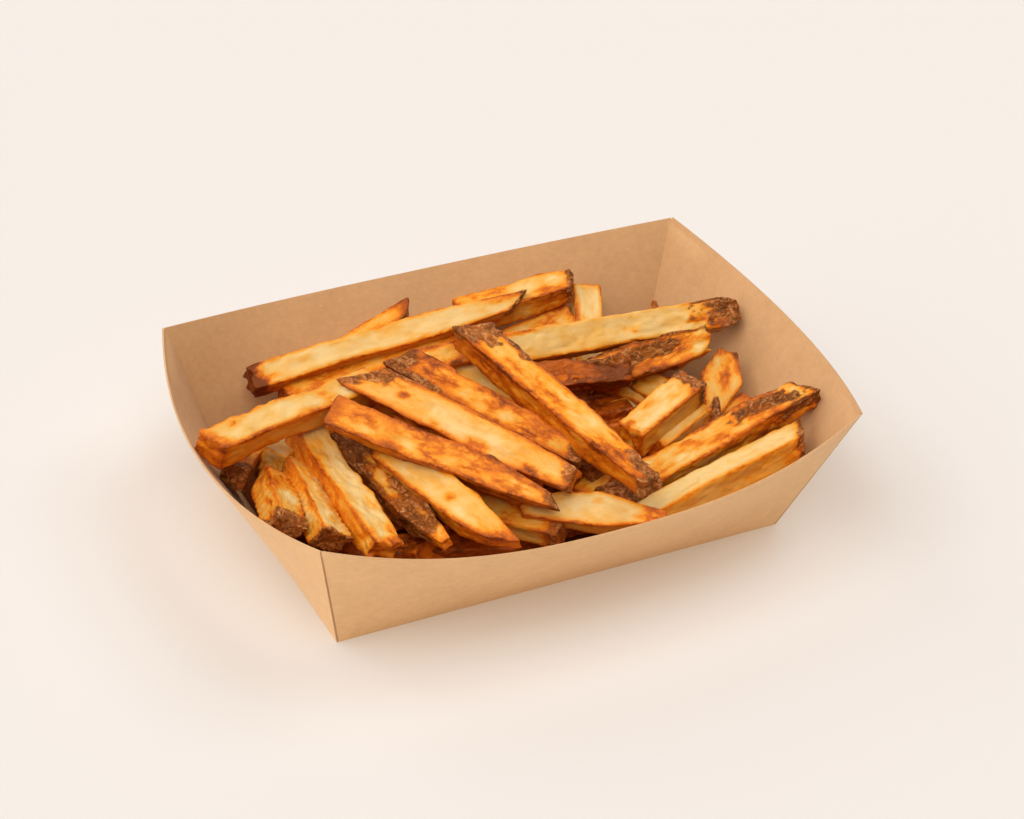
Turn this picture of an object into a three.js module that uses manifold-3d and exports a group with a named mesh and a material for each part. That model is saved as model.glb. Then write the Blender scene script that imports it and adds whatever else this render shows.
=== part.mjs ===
// Hand-cut french fries heaped in a folded kraft paper food tray.
//
// Units are millimetres. +X runs along the tray, -Y is its front and +Z is up.
// The origin is the middle of the tray's underside.
//
// The tray is one sheet of board: a flat rectangular floor and four walls that lean out to a
// peak at each corner. Between the peaks the rim bulges outwards and dips.
// The heap is one solid: a low core with the fries that lie on it joined on.

import * as THREE from 'three';
import { mergeVertices } from 'three/addons/utils/BufferGeometryUtils.js';
import Module from 'manifold-3d';

// ---------------------------------------------------------------- driving dimensions

const FLOOR_LENGTH = 136;
const FLOOR_WIDTH = 78;
const CORNER_LENGTH = 162; // from corner peak to corner peak, along X
const CORNER_WIDTH = 104.5; // from corner peak to corner peak, along Y
const CORNER_HEIGHT = 44.5;
const BOARD = 0.6;

// How far each rim bulges out and dips in its middle, and how full that curve is.
const LONG_WALL = { bulge: 12, dip: 8, fullness: 2.5, steps: 24 };
const SHORT_WALL = { bulge: 10.5, dip: 6, fullness: 2, steps: 16 };
const WALL_LEVELS = [0, 0.33, 0.67, 1]; // where a wall has a row of points, floor to rim

// Each long wall ends in two tabs that fold round the corners and are glued inside the ends.
const TAB_REACH = 0.3; // how far along half an end wall a tab reaches
const TAB_TOP = 0.94; // how far up the wall a tab reaches
const TAB_BOTTOM = 0.06;
const TAB_BOARD = 0.5;
const TAB_STEPS = 5;
const BURIED = 0.3; // depth that a tab is sunk in the wall it is glued to

const CLEARANCE = 0.35; // free space between the heap and the tray
const SHORTEST_EDGE = 0.05; // slivers that joining leaves are closed up to this size

// The core that fills the heap: rows up the walls, each further from them, then a peak. The
// heap is lower towards the tray's right-hand end.
const CORE_ROWS = [
  { level: 0.03, inset: 2 },
  { level: 0.36, inset: 3 },
  { level: 0.48, inset: 12 },
  { level: 0.56, inset: 24 },
];
const CORE_PEAK = new THREE.Vector3(-22, 6, 29);
const CORE_SHOULDER = 0.6; // share of the way from the last row to the peak where the core turns flat
const CORE_FALL = { from: -15, share: 0.6 };

// A fry is a bar with cut-off edges, rows along it and ends that may narrow.
const EDGE_CUT = 0.13; // share of the thickness that is cut off each long edge
const FRY_ROWS = [0, 0.05, 0.3, 0.7, 0.95, 1];
const END_ROUNDING = 0.84; // size of the last row against the one before it
const NARROWING = 0.3; // share of the length over which a narrow end narrows

// ---------------------------------------------------------------- the fries that show

// tail and tip: the ends of the middle line. roll: turn about that line, in degrees.
// tailSize and tipSize: section at each end against the middle, for a narrow end.
// tailSlant and tipSlant: how much longer the right-hand edge is at that end.
const SHOWN_FRIES = [
  // along the back wall
  { tail: [-59, 42, 27.5], tip: [26, 43, 33.5], width: 8, depth: 6.5, roll: 30, tipSize: 0.6, tipSlant: -8 },
  { tail: [0, 49, 27], tip: [45, 46, 33], width: 9, depth: 8, roll: 10, tipSlant: -3 },
  { tail: [-48, 43, 20], tip: [-7, 51, 34], width: 7, depth: 7, roll: 15, tipSize: 0.7, tipSlant: -4 },
  { tail: [37, 16, 12], tip: [51, 48, 29], width: 7, depth: 6, roll: 20 },
  { tail: [56, 20, 9], tip: [65, 32, 30], width: 6, depth: 6, roll: -5, tipSize: 0.5 },
  { tail: [8, 40, 17], tip: [44, 44, 23], width: 8, depth: 8, roll: 25 },
  { tail: [-21.5, 32, 31], tip: [3.5, 30, 32], width: 8, depth: 7, roll: 30, tailSize: 0.6 },
  // across the middle, on top
  { tail: [-1.5, 21.5, 42], tip: [15, -53, 38.5], width: 9, depth: 8.5, roll: 16, tailSlant: 6, tipSize: 0.6 },
  { tail: [-21, 25, 36], tip: [7.5, -30, 33], width: 9, depth: 8, roll: 30, tailSlant: 6, tipSize: 0.6 },
  { tail: [-35.5, 18, 39.5], tip: [-2.5, -42.5, 37.5], width: 10, depth: 8, roll: 44, tailSlant: 14, tipSize: 0.7 },
  { tail: [-50.5, 6.5, 39.5], tip: [-9, -45, 34.5], width: 9, depth: 8, roll: 38, tipSize: 0.4, tipSlant: 5 },
  { tail: [-87, 5, 38], tip: [-32, 20, 31.5], width: 8.7, depth: 8.7, roll: 14, tailSlant: -3 },
  // right half
  { tail: [5, 23, 33.5], tip: [82.5, 17, 30.5], width: 9.3, depth: 8, roll: 44, tipSize: 0.65 },
  { tail: [14, 16, 28], tip: [38.5, 5, 32.5], width: 8, depth: 8, roll: 38 },
  { tail: [34, 14, 24.5], tip: [66, 4, 32.5], width: 8, depth: 8, roll: 40, tipSize: 0.7 },
  { tail: [47, 30, 15], tip: [48, 8, 20], width: 7, depth: 7, roll: 25 },
  { tail: [44, 16, 12], tip: [60, 12, 15], width: 8, depth: 8, roll: 30 },
  { tail: [33, 4, 12], tip: [52, 8, 13], width: 9, depth: 8, roll: 30 },
  { tail: [26.5, -22.5, 29.5], tip: [53, -10.5, 32.5], width: 9.5, depth: 9, roll: 2 },
  { tail: [34, -22.5, 22.5], tip: [54, -13, 23.5], width: 8, depth: 8, roll: 4 },
  { tail: [55, -20, 17], tip: [61, -11.5, 26], width: 7, depth: 7, roll: -5, tipSize: 0.5 },
  { tail: [62, -9, 19], tip: [76, 6, 27], width: 11, depth: 8, roll: -10, tailSize: 0.4 },
  { tail: [66, -10, 14], tip: [76, -8, 19], width: 8, depth: 7, roll: 20 },
  { tail: [23, -35, 23.5], tip: [80.5, -27, 33], width: 9, depth: 8.5, roll: 6, tipSize: 0.7, tipSlant: 5 },
  { tail: [15.5, -49, 22.5], tip: [72, -39, 27], width: 8, depth: 9, roll: -10, tipSize: 0.8 },
  // front, right of the middle
  { tail: [-11, -40, 29], tip: [20, -55, 28], width: 9.5, depth: 8, roll: 36, tipSize: 0.3 },
  { tail: [9, -31, 19], tip: [22, -24, 23], width: 8, depth: 8, roll: 0 },
  { tail: [8, -38, 23.5], tip: [27, -40, 24.5], width: 8, depth: 7, roll: 25 },
  { tail: [11, -6, 26], tip: [14, -29, 27], width: 8, depth: 8, roll: 20 },
  { tail: [12, -12, 15], tip: [21, -24, 15], width: 7, depth: 7, roll: 30 },
  { tail: [2, 34, 25], tip: [12, 11, 23], width: 9, depth: 8, roll: 30 },
  { tail: [-21, -22, 19], tip: [-5, -44, 22], width: 8, depth: 8, roll: 20 },
  // front left corner
  { tail: [-36, -9, 29], tip: [-27, -52, 31], width: 10, depth: 8, roll: 25, tipSize: 0.5, tipSlant: -8 },
  { tail: [-43, 18, 20], tip: [-41, -41, 27], width: 8.5, depth: 8, roll: 20, tipSize: 0.4 },
  { tail: [-54, 19, 24], tip: [-57, -43, 30], width: 9, depth: 8.5, roll: 10 },
  { tail: [-61, 9, 21], tip: [-68, -33, 28], width: 9, depth: 8, roll: -8, tailSize: 0.6 },
  { tail: [-68.5, 9, 22.5], tip: [-78, -25, 30], width: 10, depth: 8, roll: 0, tailSize: 0.5 },
  { tail: [-61, 30, 13], tip: [-77, 8, 21.5], width: 8, depth: 7, roll: -10 },
  { tail: [-44, 33, 14], tip: [-64, 12, 22], width: 7, depth: 7, roll: -8 },
  // in the second layer, mostly out of sight
  { tail: [-50, 37, 22], tip: [4, 43, 26], width: 9, depth: 8, roll: 10 },
  { tail: [-27, 24, 28], tip: [2, -22, 26], width: 9, depth: 8, roll: 20 },
  { tail: [-28, 9, 30], tip: [-9, -34, 28], width: 9, depth: 9, roll: 10 },
  { tail: [62, -22, 19], tip: [8, -34, 17], width: 9, depth: 9, roll: 15 },
  { tail: [60, 2, 20], tip: [20, 20, 21], width: 9, depth: 9, roll: 25 },
];

// Fries lower in the heap lie in rows along the tray, each turned a little by a seeded draw.
const LOWER_ROWS = [-28, -6, 16]; // the middle of each row, across the tray
const LOWER_COLUMNS = [-44, 0, 44]; // the middle of each fry, along the tray
const LOWER_LENGTH = 52;
const LOWER_SECTION = 9;
const LOWER_HEIGHT = 15;
const LOWER_SPREAD = { turn: 50, across: 8, height: 5 };
const DRAW_SEED = 4211;

// ---------------------------------------------------------------- finishes

const kraftBoard = new THREE.MeshStandardMaterial({ color: 0xd6aa7c, roughness: 0.85, metalness: 0 });
const friedPotato = new THREE.MeshStandardMaterial({ color: 0xe0a24a, roughness: 0.55, metalness: 0 });

// ---------------------------------------------------------------- closed meshes from rows

// Rows of points, each anticlockwise seen against the way the rows advance, become one closed
// geometry: bands between the rows, and a fan on the first and the last.
function closedSkin(rows) {
  const perRow = rows[0].length;
  const points = rows.flat();
  const faces = [];
  for (let row = 0; row + 1 < rows.length; row += 1) {
    for (let i = 0; i < perRow; i += 1) {
      const a = row * perRow + i;
      const b = row * perRow + ((i + 1) % perRow);
      faces.push(a, b, b + perRow, a, b + perRow, a + perRow);
    }
  }
  const last = (rows.length - 1) * perRow;
  const firstMiddle = points.push(middleOf(rows[0])) - 1;
  const lastMiddle = points.push(middleOf(rows[rows.length - 1])) - 1;
  for (let i = 0; i < perRow; i += 1) {
    const next = (i + 1) % perRow;
    faces.push(firstMiddle, next, i);
    faces.push(lastMiddle, last + i, last + next);
  }
  const geometry = new THREE.BufferGeometry().setFromPoints(points);
  geometry.setIndex(faces);
  return geometry;
}

function middleOf(row) {
  const sum = new THREE.Vector3();
  for (const point of row) {
    sum.add(point);
  }
  return sum.divideScalar(row.length);
}

// ---------------------------------------------------------------- joining and cutting

const wasm = await Module();
wasm.setup();

function toSolid(geometry) {
  const bare = geometry.clone();
  bare.deleteAttribute('normal');
  bare.deleteAttribute('uv');
  const merged = mergeVertices(bare);
  const vertProperties = Float32Array.from(merged.attributes.position.array);
  const triVerts = Uint32Array.from(merged.index.array);
  return new wasm.Manifold(new wasm.Mesh({ numProp: 3, vertProperties, triVerts }));
}

function toGeometry(solid) {
  const mesh = solid.getMesh();
  const geometry = new THREE.BufferGeometry();
  geometry.setAttribute('position', new THREE.BufferAttribute(mesh.vertProperties, 3));
  geometry.setIndex(new THREE.BufferAttribute(mesh.triVerts, 1));
  geometry.computeVertexNormals();
  return geometry;
}

// The largest of the shells that a joined solid is made of. This fills a hollow that is sealed
// between joined pieces, and drops a loose scrap.
function largestShell(solid) {
  return solid.decompose().reduce((best, shell) => (shell.volume() > best.volume() ? shell : best));
}

// ---------------------------------------------------------------- the tray

// How strongly a rim bulges and dips at `along`, which is 0 mid-wall and 1 or -1 at a corner.
function rimSwell(wall, along) {
  return Math.max(0, 1 - Math.abs(along) ** wall.fullness);
}

// A point on a wall. `side` is 1 or -1, `along` runs from corner to corner, `level` from the
// floor (0) to the rim (1), and `inset` moves the wall in, towards the middle of the tray.
function longWallPoint(side, along, level, inset, floor) {
  const swell = rimSwell(LONG_WALL, along);
  const foot = new THREE.Vector3(along * (FLOOR_LENGTH / 2 - inset), side * (FLOOR_WIDTH / 2 - inset), floor);
  const rim = new THREE.Vector3(
    along * (CORNER_LENGTH / 2 - inset),
    side * (CORNER_WIDTH / 2 + LONG_WALL.bulge * swell - inset),
    CORNER_HEIGHT - LONG_WALL.dip * swell,
  );
  return foot.lerp(rim, level);
}

function shortWallPoint(side, along, level, inset, floor) {
  const swell = rimSwell(SHORT_WALL, along);
  const foot = new THREE.Vector3(side * (FLOOR_LENGTH / 2 - inset), along * (FLOOR_WIDTH / 2 - inset), floor);
  const rim = new THREE.Vector3(
    side * (CORNER_LENGTH / 2 + SHORT_WALL.bulge * swell - inset),
    along * (CORNER_WIDTH / 2 - inset),
    CORNER_HEIGHT - SHORT_WALL.dip * swell,
  );
  return foot.lerp(rim, level);
}

// One row of points right round the tray, anticlockwise seen from above.
function trayRow(level, inset, floor) {
  const row = [];
  for (let i = 0; i < LONG_WALL.steps; i += 1) {
    row.push(longWallPoint(-1, (2 * i) / LONG_WALL.steps - 1, level, inset, floor));
  }
  for (let i = 0; i < SHORT_WALL.steps; i += 1) {
    row.push(shortWallPoint(1, (2 * i) / SHORT_WALL.steps - 1, level, inset, floor));
  }
  for (let i = 0; i < LONG_WALL.steps; i += 1) {
    row.push(longWallPoint(1, 1 - (2 * i) / LONG_WALL.steps, level, inset, floor));
  }
  for (let i = 0; i < SHORT_WALL.steps; i += 1) {
    row.push(shortWallPoint(-1, 1 - (2 * i) / SHORT_WALL.steps, level, inset, floor));
  }
  return row;
}

// A glued tab: a thin plate on the inner face of an end wall, beside one corner.
function tabSolid(side, corner) {
  const rows = [];
  for (let i = 0; i <= TAB_STEPS; i += 1) {
    const along = corner * (1 + BURIED / CORNER_WIDTH - (TAB_REACH * i) / TAB_STEPS);
    const outer = BOARD - BURIED;
    const inner = BOARD + TAB_BOARD;
    rows.push([
      shortWallPoint(side, along, TAB_BOTTOM, outer, BOARD),
      shortWallPoint(side, along, TAB_TOP, outer, BOARD),
      shortWallPoint(side, along, TAB_TOP, inner, BOARD),
      shortWallPoint(side, along, TAB_BOTTOM, inner, BOARD),
    ]);
  }
  if (side * corner < 0) {
    rows.reverse();
  }
  return toSolid(closedSkin(rows));
}

function traySolid() {
  const outside = WALL_LEVELS.map((level) => trayRow(level, 0, 0));
  const inside = [...WALL_LEVELS].reverse().map((level) => trayRow(level, BOARD, BOARD));
  let tray = toSolid(closedSkin([...outside, ...inside]));
  for (const side of [1, -1]) {
    for (const corner of [1, -1]) {
      tray = tray.add(tabSolid(side, corner));
    }
  }
  return tray;
}

// The room inside the tray, carried on upwards above the rim in line with the walls.
function roomSolid() {
  const inset = BOARD + TAB_BOARD + CLEARANCE;
  const floor = BOARD + CLEARANCE;
  const levels = [...WALL_LEVELS, 1.5];
  return toSolid(closedSkin(levels.map((level) => trayRow(level, inset, floor))));
}

// ---------------------------------------------------------------- the heap

function coreSolid() {
  const floor = BOARD + CLEARANCE;
  const rows = CORE_ROWS.map(({ level, inset }) => trayRow(level, inset, floor));
  rows.push(rows[rows.length - 1].map((point) => point.clone().lerp(CORE_PEAK, CORE_SHOULDER)));
  for (const row of rows.slice(1)) {
    for (const point of row) {
      const past = Math.max(0, point.x - CORE_FALL.from) / (CORNER_LENGTH / 2 - CORE_FALL.from);
      point.z *= 1 - CORE_FALL.share * past;
    }
  }
  return toSolid(closedSkin(rows));
}

// How large a fry's section is at `at`, from 0 at the tail to 1 at the tip.
function sectionSize(fry, at) {
  const { tailSize = 1, tipSize = 1 } = fry;
  const tail = tailSize + (1 - tailSize) * Math.min(1, at / NARROWING);
  const tip = tipSize + (1 - tipSize) * Math.min(1, (1 - at) / NARROWING);
  const rounding = at === 0 || at === 1 ? END_ROUNDING : 1;
  return tail * tip * rounding;
}

// How far a slanted end moves a row along the fry, at the right-hand edge.
function slantShift(fry, at) {
  const { tailSlant = 0, tipSlant = 0 } = fry;
  const tail = (-tailSlant / 2) * Math.max(0, 1 - at / NARROWING);
  const tip = (tipSlant / 2) * Math.max(0, 1 - (1 - at) / NARROWING);
  return tail + tip;
}

function frySolid(fry) {
  const tail = new THREE.Vector3(...fry.tail);
  const tip = new THREE.Vector3(...fry.tip);
  const axis = tip.clone().sub(tail).normalize();
  const top = new THREE.Vector3(0, 0, 1).projectOnPlane(axis).normalize();
  top.applyAxisAngle(axis, THREE.MathUtils.degToRad(fry.roll));
  const right = axis.clone().cross(top);
  const halfWidth = fry.width / 2;
  const halfDepth = fry.depth / 2;
  const cut = EDGE_CUT * Math.min(fry.width, fry.depth);
  const section = [
    [halfWidth, cut - halfDepth],
    [halfWidth - cut, -halfDepth],
    [cut - halfWidth, -halfDepth],
    [-halfWidth, cut - halfDepth],
    [-halfWidth, halfDepth - cut],
    [cut - halfWidth, halfDepth],
    [halfWidth - cut, halfDepth],
    [halfWidth, halfDepth - cut],
  ];
  const rows = FRY_ROWS.map((at) => {
    const size = sectionSize(fry, at);
    const shift = slantShift(fry, at);
    const middle = tail.clone().lerp(tip, at);
    return section.map(([across, up]) => middle.clone()
      .addScaledVector(right, across * size)
      .addScaledVector(top, up * size)
      .addScaledVector(axis, (shift * across) / halfWidth));
  });
  return toSolid(closedSkin(rows));
}

// Draws that come out the same on every run, each from 0 to 1.
function seededDraw(seed) {
  let state = seed;
  return () => {
    state = (state * 16807) % 2147483647;
    return state / 2147483647;
  };
}

function lowerFries() {
  const draw = seededDraw(DRAW_SEED);
  const fries = [];
  for (const y of LOWER_ROWS) {
    for (const x of LOWER_COLUMNS) {
      const turn = THREE.MathUtils.degToRad(LOWER_SPREAD.turn * (draw() - 0.5));
      const middle = new THREE.Vector3(x, y + LOWER_SPREAD.across * (draw() - 0.5), LOWER_HEIGHT);
      middle.z += LOWER_SPREAD.height * (draw() - 0.5);
      const half = new THREE.Vector3(Math.cos(turn), Math.sin(turn), 0).multiplyScalar(LOWER_LENGTH / 2);
      fries.push({
        tail: middle.clone().sub(half).toArray(),
        tip: middle.clone().add(half).toArray(),
        width: LOWER_SECTION,
        depth: LOWER_SECTION,
        roll: 90 * draw(),
      });
    }
  }
  return fries;
}

function heapSolid() {
  let heap = coreSolid();
  for (const fry of [...SHOWN_FRIES, ...lowerFries()]) {
    heap = heap.add(frySolid(fry));
  }
  return largestShell(heap.intersect(roomSolid())).simplify(SHORTEST_EDGE);
}

// ---------------------------------------------------------------- the assembled part

const carton = new THREE.Mesh(toGeometry(traySolid()), kraftBoard);
carton.name = 'carton';

const fries = new THREE.Mesh(toGeometry(heapSolid()), friedPotato);
fries.name = 'fries';

const part = new THREE.Group();
part.add(carton, fries);

export default part;
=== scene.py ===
"""Hand-cut french fries heaped in a folded kraft paper food tray.

The tray is one sheet of paper board, folded up from a flat floor, with a glued tab round each corner.
Every fry that shows is made from a row of its own in a table: its ends, section, bends, browning and
The fries under them are a Geometry Nodes scatter over a low core; both are toned dark brown as painted shade
deep in the heap.
"""

import math

import bmesh
import bpy
import numpy as np
from mathutils import Matrix, Vector


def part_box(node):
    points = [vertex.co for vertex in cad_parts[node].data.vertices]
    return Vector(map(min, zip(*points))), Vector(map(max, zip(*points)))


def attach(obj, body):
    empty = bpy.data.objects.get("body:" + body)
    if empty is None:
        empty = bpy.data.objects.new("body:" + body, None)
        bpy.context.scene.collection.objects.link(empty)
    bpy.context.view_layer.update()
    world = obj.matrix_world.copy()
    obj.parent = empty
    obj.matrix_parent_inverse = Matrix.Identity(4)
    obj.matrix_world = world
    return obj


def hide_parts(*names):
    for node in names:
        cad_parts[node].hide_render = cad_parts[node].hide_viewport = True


bl_info = {
    "name": "Fries in a Paper Tray",
    "version": (1, 0, 0),
    "blender": (4, 5, 0),
    "location": "View3D > Sidebar > Fries",
    "description": "Builds a folded kraft paper tray and its heap of hand-cut fries",
    "category": "Add Mesh",
}

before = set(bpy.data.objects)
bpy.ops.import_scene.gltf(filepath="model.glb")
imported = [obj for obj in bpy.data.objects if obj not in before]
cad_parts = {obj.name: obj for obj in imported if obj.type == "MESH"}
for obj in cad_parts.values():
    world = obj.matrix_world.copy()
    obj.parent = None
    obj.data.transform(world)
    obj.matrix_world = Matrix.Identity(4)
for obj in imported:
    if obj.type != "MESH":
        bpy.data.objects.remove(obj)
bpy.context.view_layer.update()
TRAY_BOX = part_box("carton")
MM = 0.001


# ---------------------------------------------------------------- sizes and colours


def length_of(name, description, default):
    return bpy.props.FloatProperty(name=name, description=description, default=default, unit="LENGTH")


def colour_of(name, description, default):
    return bpy.props.FloatVectorProperty(
        name=name, description=description, default=default, subtype="COLOR", size=3, min=0.0, max=1.0)


class TraySizes(bpy.types.PropertyGroup):
    """Sizes and colours of the folded paper tray."""

    floor_length: length_of("Floor length", "Length of the flat floor", 0.136)
    floor_width: length_of("Floor width", "Width of the flat floor", 0.078)
    corner_length: length_of("Corner length", "Distance between the corner peaks, lengthways", 0.162)
    corner_width: length_of("Corner width", "Distance between the corner peaks, across", 0.1045)
    corner_height: length_of("Corner height", "Height of the corner peaks", TRAY_BOX[1].z)
    long_bulge: length_of("Long rim bulge", "How far a long rim stands out in its middle", 0.012)
    long_dip: length_of("Long rim dip", "How far a long rim dips in its middle", 0.008)
    short_bulge: length_of("Short rim bulge", "How far a short rim stands out in its middle", 0.0105)
    short_dip: length_of("Short rim dip", "How far a short rim dips in its middle", 0.006)
    board: length_of("Board", "Thickness of the paper board", 0.00048)
    outside_colour: colour_of("Outside colour", "Colour of the board's outer face", (0.88, 0.525, 0.235))
    # The inner face's colour is partly the board's own darker inner face and partly painted shade, with the
    # warm bounce light of the tray's inside.
    inside_colour_and_shade: colour_of("Inside colour and shade", "Colour of the board's inner face", (0.63, 0.345, 0.148))


class FryLooks(bpy.types.PropertyGroup):
    """Shape and colour that all the fries share."""

    spacing: length_of("Mesh spacing", "Distance between the points of a fry's mesh", 0.00053)
    hollow: bpy.props.FloatProperty(
        name="Hollow faces", description="How far the middle of each face sinks, as a share of its width",
        default=0.045, min=0.0, max=0.2, subtype="FACTOR")
    cream: colour_of("Cream", "Colour of the least fried flesh", (0.74, 0.495, 0.195))
    pale: colour_of("Pale gold", "Colour of lightly fried flesh", (0.71, 0.370, 0.078))
    gold: colour_of("Gold", "Colour of evenly fried flesh", (0.74, 0.285, 0.020))
    orange: colour_of("Orange", "Colour of well fried faces", (0.68, 0.175, 0.005))
    crust: colour_of("Crust", "Colour of crisp edges", (0.51, 0.104, 0.004))
    brown: colour_of("Brown", "Colour of dark ends", (0.31, 0.053, 0.003))
    burnt: colour_of("Burnt", "Colour of the darkest spots", (0.15, 0.025, 0.002))
    skin: colour_of("Skin", "Colour of fried potato skin", (0.29, 0.080, 0.012))


class StageLooks(bpy.types.PropertyGroup):
    """The floor and the light."""

    floor_colour: colour_of("Floor colour", "Colour of the plain floor", (0.462, 0.474, 0.484))
    floor_glow: colour_of("Floor glow", "Light that comes up through the floor", (0.280, 0.186, 0.110))
    light: bpy.props.FloatProperty(
        name="Light", description="Strength of the ring of soft lights", default=1.0, min=0.0)
    sky: bpy.props.FloatProperty(
        name="Sky", description="Strength of the light that comes from low on all sides", default=1.2,
        min=0.0)


# Soft lights round the tray: name, direction and height above the floor in degrees, strength
LIGHTS = (
    ("left low", 180, 30, 0.72),
    ("left high", 180, 58, 1.15),
    ("front left", 240, 58, 1.45),
    ("right", 0, 58, 1.24),
    ("top", 90, 89, 0.10),
    ("back left", 120, 30, 0.77),
    ("back right", 60, 30, 0.20),
)
LIGHT_SPREAD = 40  # degrees

# The camera: where it stands, and which way is right and up in its picture
CAMERA_PLACE = (-0.3444, -0.5843, 0.5257)
CAMERA_RIGHT = (0.88587, -0.45706, 0.07951)
CAMERA_UP = (0.21388, 0.55444, 0.80427)
CAMERA_LENS = 107.09
CAMERA_SENSOR = 36.0


# ---------------------------------------------------------------- meshes


def mesh_object(name, verts, faces, attributes=None):
    """An object of the given points (in metres), faces and point attributes."""
    mesh = bpy.data.meshes.new(name)
    mesh.from_pydata([tuple(v) for v in verts], [], [tuple(int(i) for i in f) for f in faces])
    for key, values in (attributes or {}).items():
        values = np.asarray(values, np.float32)
        kind, field = ("FLOAT", "value") if values.ndim == 1 else ("FLOAT_VECTOR", "vector")
        mesh.attributes.new(key, kind, "POINT").data.foreach_set(field, values.ravel())
    mesh.validate()
    piece = bpy.data.objects.new(name, mesh)
    bpy.context.scene.collection.objects.link(piece)
    return piece


def shade_smooth(mesh, sharp_degrees=None):
    """Smooth faces, with the edges that turn more than sharp_degrees left sharp."""
    mesh.polygons.foreach_set("use_smooth", [True] * len(mesh.polygons))
    if sharp_degrees is None:
        return
    work = bmesh.new()
    work.from_mesh(mesh)
    limit = math.radians(sharp_degrees)
    for edge in work.edges:
        if len(edge.link_faces) == 2:
            edge.smooth = edge.calc_face_angle(0.0) < limit
    work.to_mesh(mesh)
    work.free()


def baked(piece):
    """The piece with its modifiers made part of its mesh."""
    depsgraph = bpy.context.evaluated_depsgraph_get()
    mesh = bpy.data.meshes.new_from_object(piece.evaluated_get(depsgraph), depsgraph=depsgraph)
    piece.modifiers.clear()
    old = piece.data
    piece.data = mesh
    mesh.name = old.name
    bpy.data.meshes.remove(old)
    return piece


def grid_faces(rows, columns, start, flip):
    """Four-sided faces between the points of a grid, whose first point has the number start."""
    index = start + np.arange(rows * columns).reshape(rows, columns)
    a, b, c, d = index[:-1, :-1], index[:-1, 1:], index[1:, 1:], index[1:, :-1]
    order = (a, d, c, b) if flip else (a, b, c, d)
    return np.stack(order, -1).reshape(-1, 4)


# ---------------------------------------------------------------- noise


def lattice(points, seed):
    """A repeatable random number from -1 to 1 for each whole-number point."""
    h = (points[..., 0] * 374761393 + points[..., 1] * 668265263 + points[..., 2] * 1442695041
         + seed * 974634777)
    h = (h ^ (h >> 13)) & 0xFFFFFFFF
    h = (h * 1274126177) & 0xFFFFFFFF
    h = (h ^ (h >> 16)) & 0xFFFFFFFF
    return h / 2147483647.5 - 1.0


def smooth_noise(points, seed=0):
    """Smooth noise of wavelength 1, from -1 to 1."""
    cell = np.floor(points).astype(np.int64)
    part = points - cell
    blend = part * part * part * (part * (part * 6.0 - 15.0) + 10.0)
    total = np.zeros(points.shape[:-1])
    for corner in range(8):
        step = np.array([corner & 1, (corner >> 1) & 1, corner >> 2])
        weight = np.where(step == 1, blend, 1.0 - blend).prod(axis=-1)
        total += weight * lattice(cell + step, seed)
    return total


def layered_noise(points, seed=0, layers=3):
    """Smooth noise with finer noise on top of it."""
    total = np.zeros(points.shape[:-1])
    for layer in range(layers):
        total += smooth_noise(points * 2.0 ** layer, seed + 17 * layer) * 0.5 ** layer
    return total


def smoothstep(low, high, x):
    t = np.clip((x - low) / (high - low), 0.0, 1.0)
    return t * t * (3.0 - 2.0 * t)


# ---------------------------------------------------------------- one fry

CAP_SHRINK = (0.97, 0.90, 0.74, 0.50, 0.24)  # rings that close an end
CAP_REACH = (0.50, 0.88, 0.90, 0.70, 0.58)  # how far out they stand, against END_ROUND
END_ROUND = 0.75  # mm
POLE_REACH = 0.02  # mm, how far the last point of an end stands out from its last ring
SQUARENESS = 9.0  # of the section: 2 is round, more is squarer
SWAY, SWAY_LENGTH = 0.45, 22.0  # mm, how far the middle line strays, and over what length
EDGE_LINE = (0.1, 0.85)  # mm from an edge where its thin brown line fades
EDGE_BAND = (0.1, 2.2)  # mm from an edge where its broad browning fades
CRUST_LIMIT = 0.62  # the most that browned edges and ends add to the tone
KNEE, KNEE_ROOM = 0.55, 0.34  # where the tone stops rising evenly, and how much further it can go
PLAIN_END = (0.5, 3.0, 0.2)  # how an end is browned where its row doesn't say
MARK_FADE = {"skin": (0.6, 1.0), "bare": (0.2, 1.1), "brown": (0.3, 1.05), "pale": (0.3, 1.05)}

# Noise that shapes and browns a fry: wavelength along it, across it and through it in mm, seed, layers
NOISE = {
    "clouds": ((15.0, 7.0, 7.0), 3, 2),
    "patches": ((6.5, 3.2, 3.2), 7, 4),
    "streaks": ((7.0, 1.6, 1.6), 11, 3),
    "specks": ((1.3, 0.9, 0.9), 13, 1),
    "edges": ((6.0, 3.0, 3.0), 17, 1),
    "bulges": ((12.0, 7.0, 7.0), 23, 1),
    "dents": ((5.0, 3.0, 3.0), 29, 1),
    "ripples": ((2.0, 1.3, 1.3), 31, 1),
    "folds": ((3.4, 1.9, 1.9), 37, 1),
    "grit": ((1.2, 1.2, 1.2), 41, 1),
    "creases": ((4.5, 2.4, 2.4), 43, 1),
    "chips": ((2.8, 2.2, 2.2), 47, 1),
    "ragged": ((3.0, 1.8, 1.8), 53, 1),
    "bands": ((4.2, 9.0, 9.0), 61, 1),
}
SWAY_SEED = 59


def fry(name, tail, tip, width, depth, roll, kind="golden", **look):
    """A row of the table: the ends of the middle line, section and roll, with how it is fried.

    tone            how fried the faces are: 0 cream, 0.2 pale gold, 0.4 gold, 0.6 orange, 0.8 brown, 1 burnt
    right           what its right side adds to the tone: painted shade, a darker amber on the shaded side
    patchy          how uneven the tone is
    rims            brown lines on the top right, top left, bottom right and bottom left edges, 1 if not given
    tail_end        brown line round the end, how far its browning reaches (mm), what its face adds
    tail_size       how wide the end is, as a share of the middle, and narrowing the share of the length
                    over which each end narrows
    tail_slant      how far the end is cut back from left to right (mm), and tail_lift from bottom to top
    marks           (what, side, place from 0 to 1, across from -1 to 1, half length and half width in mm,
                    strength); those that go all round have no across and no half width
    """
    return {"name": name, "tail": tail, "tip": tip, "width": width, "depth": depth, "roll": roll,
            "kind": kind, **look}


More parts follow.
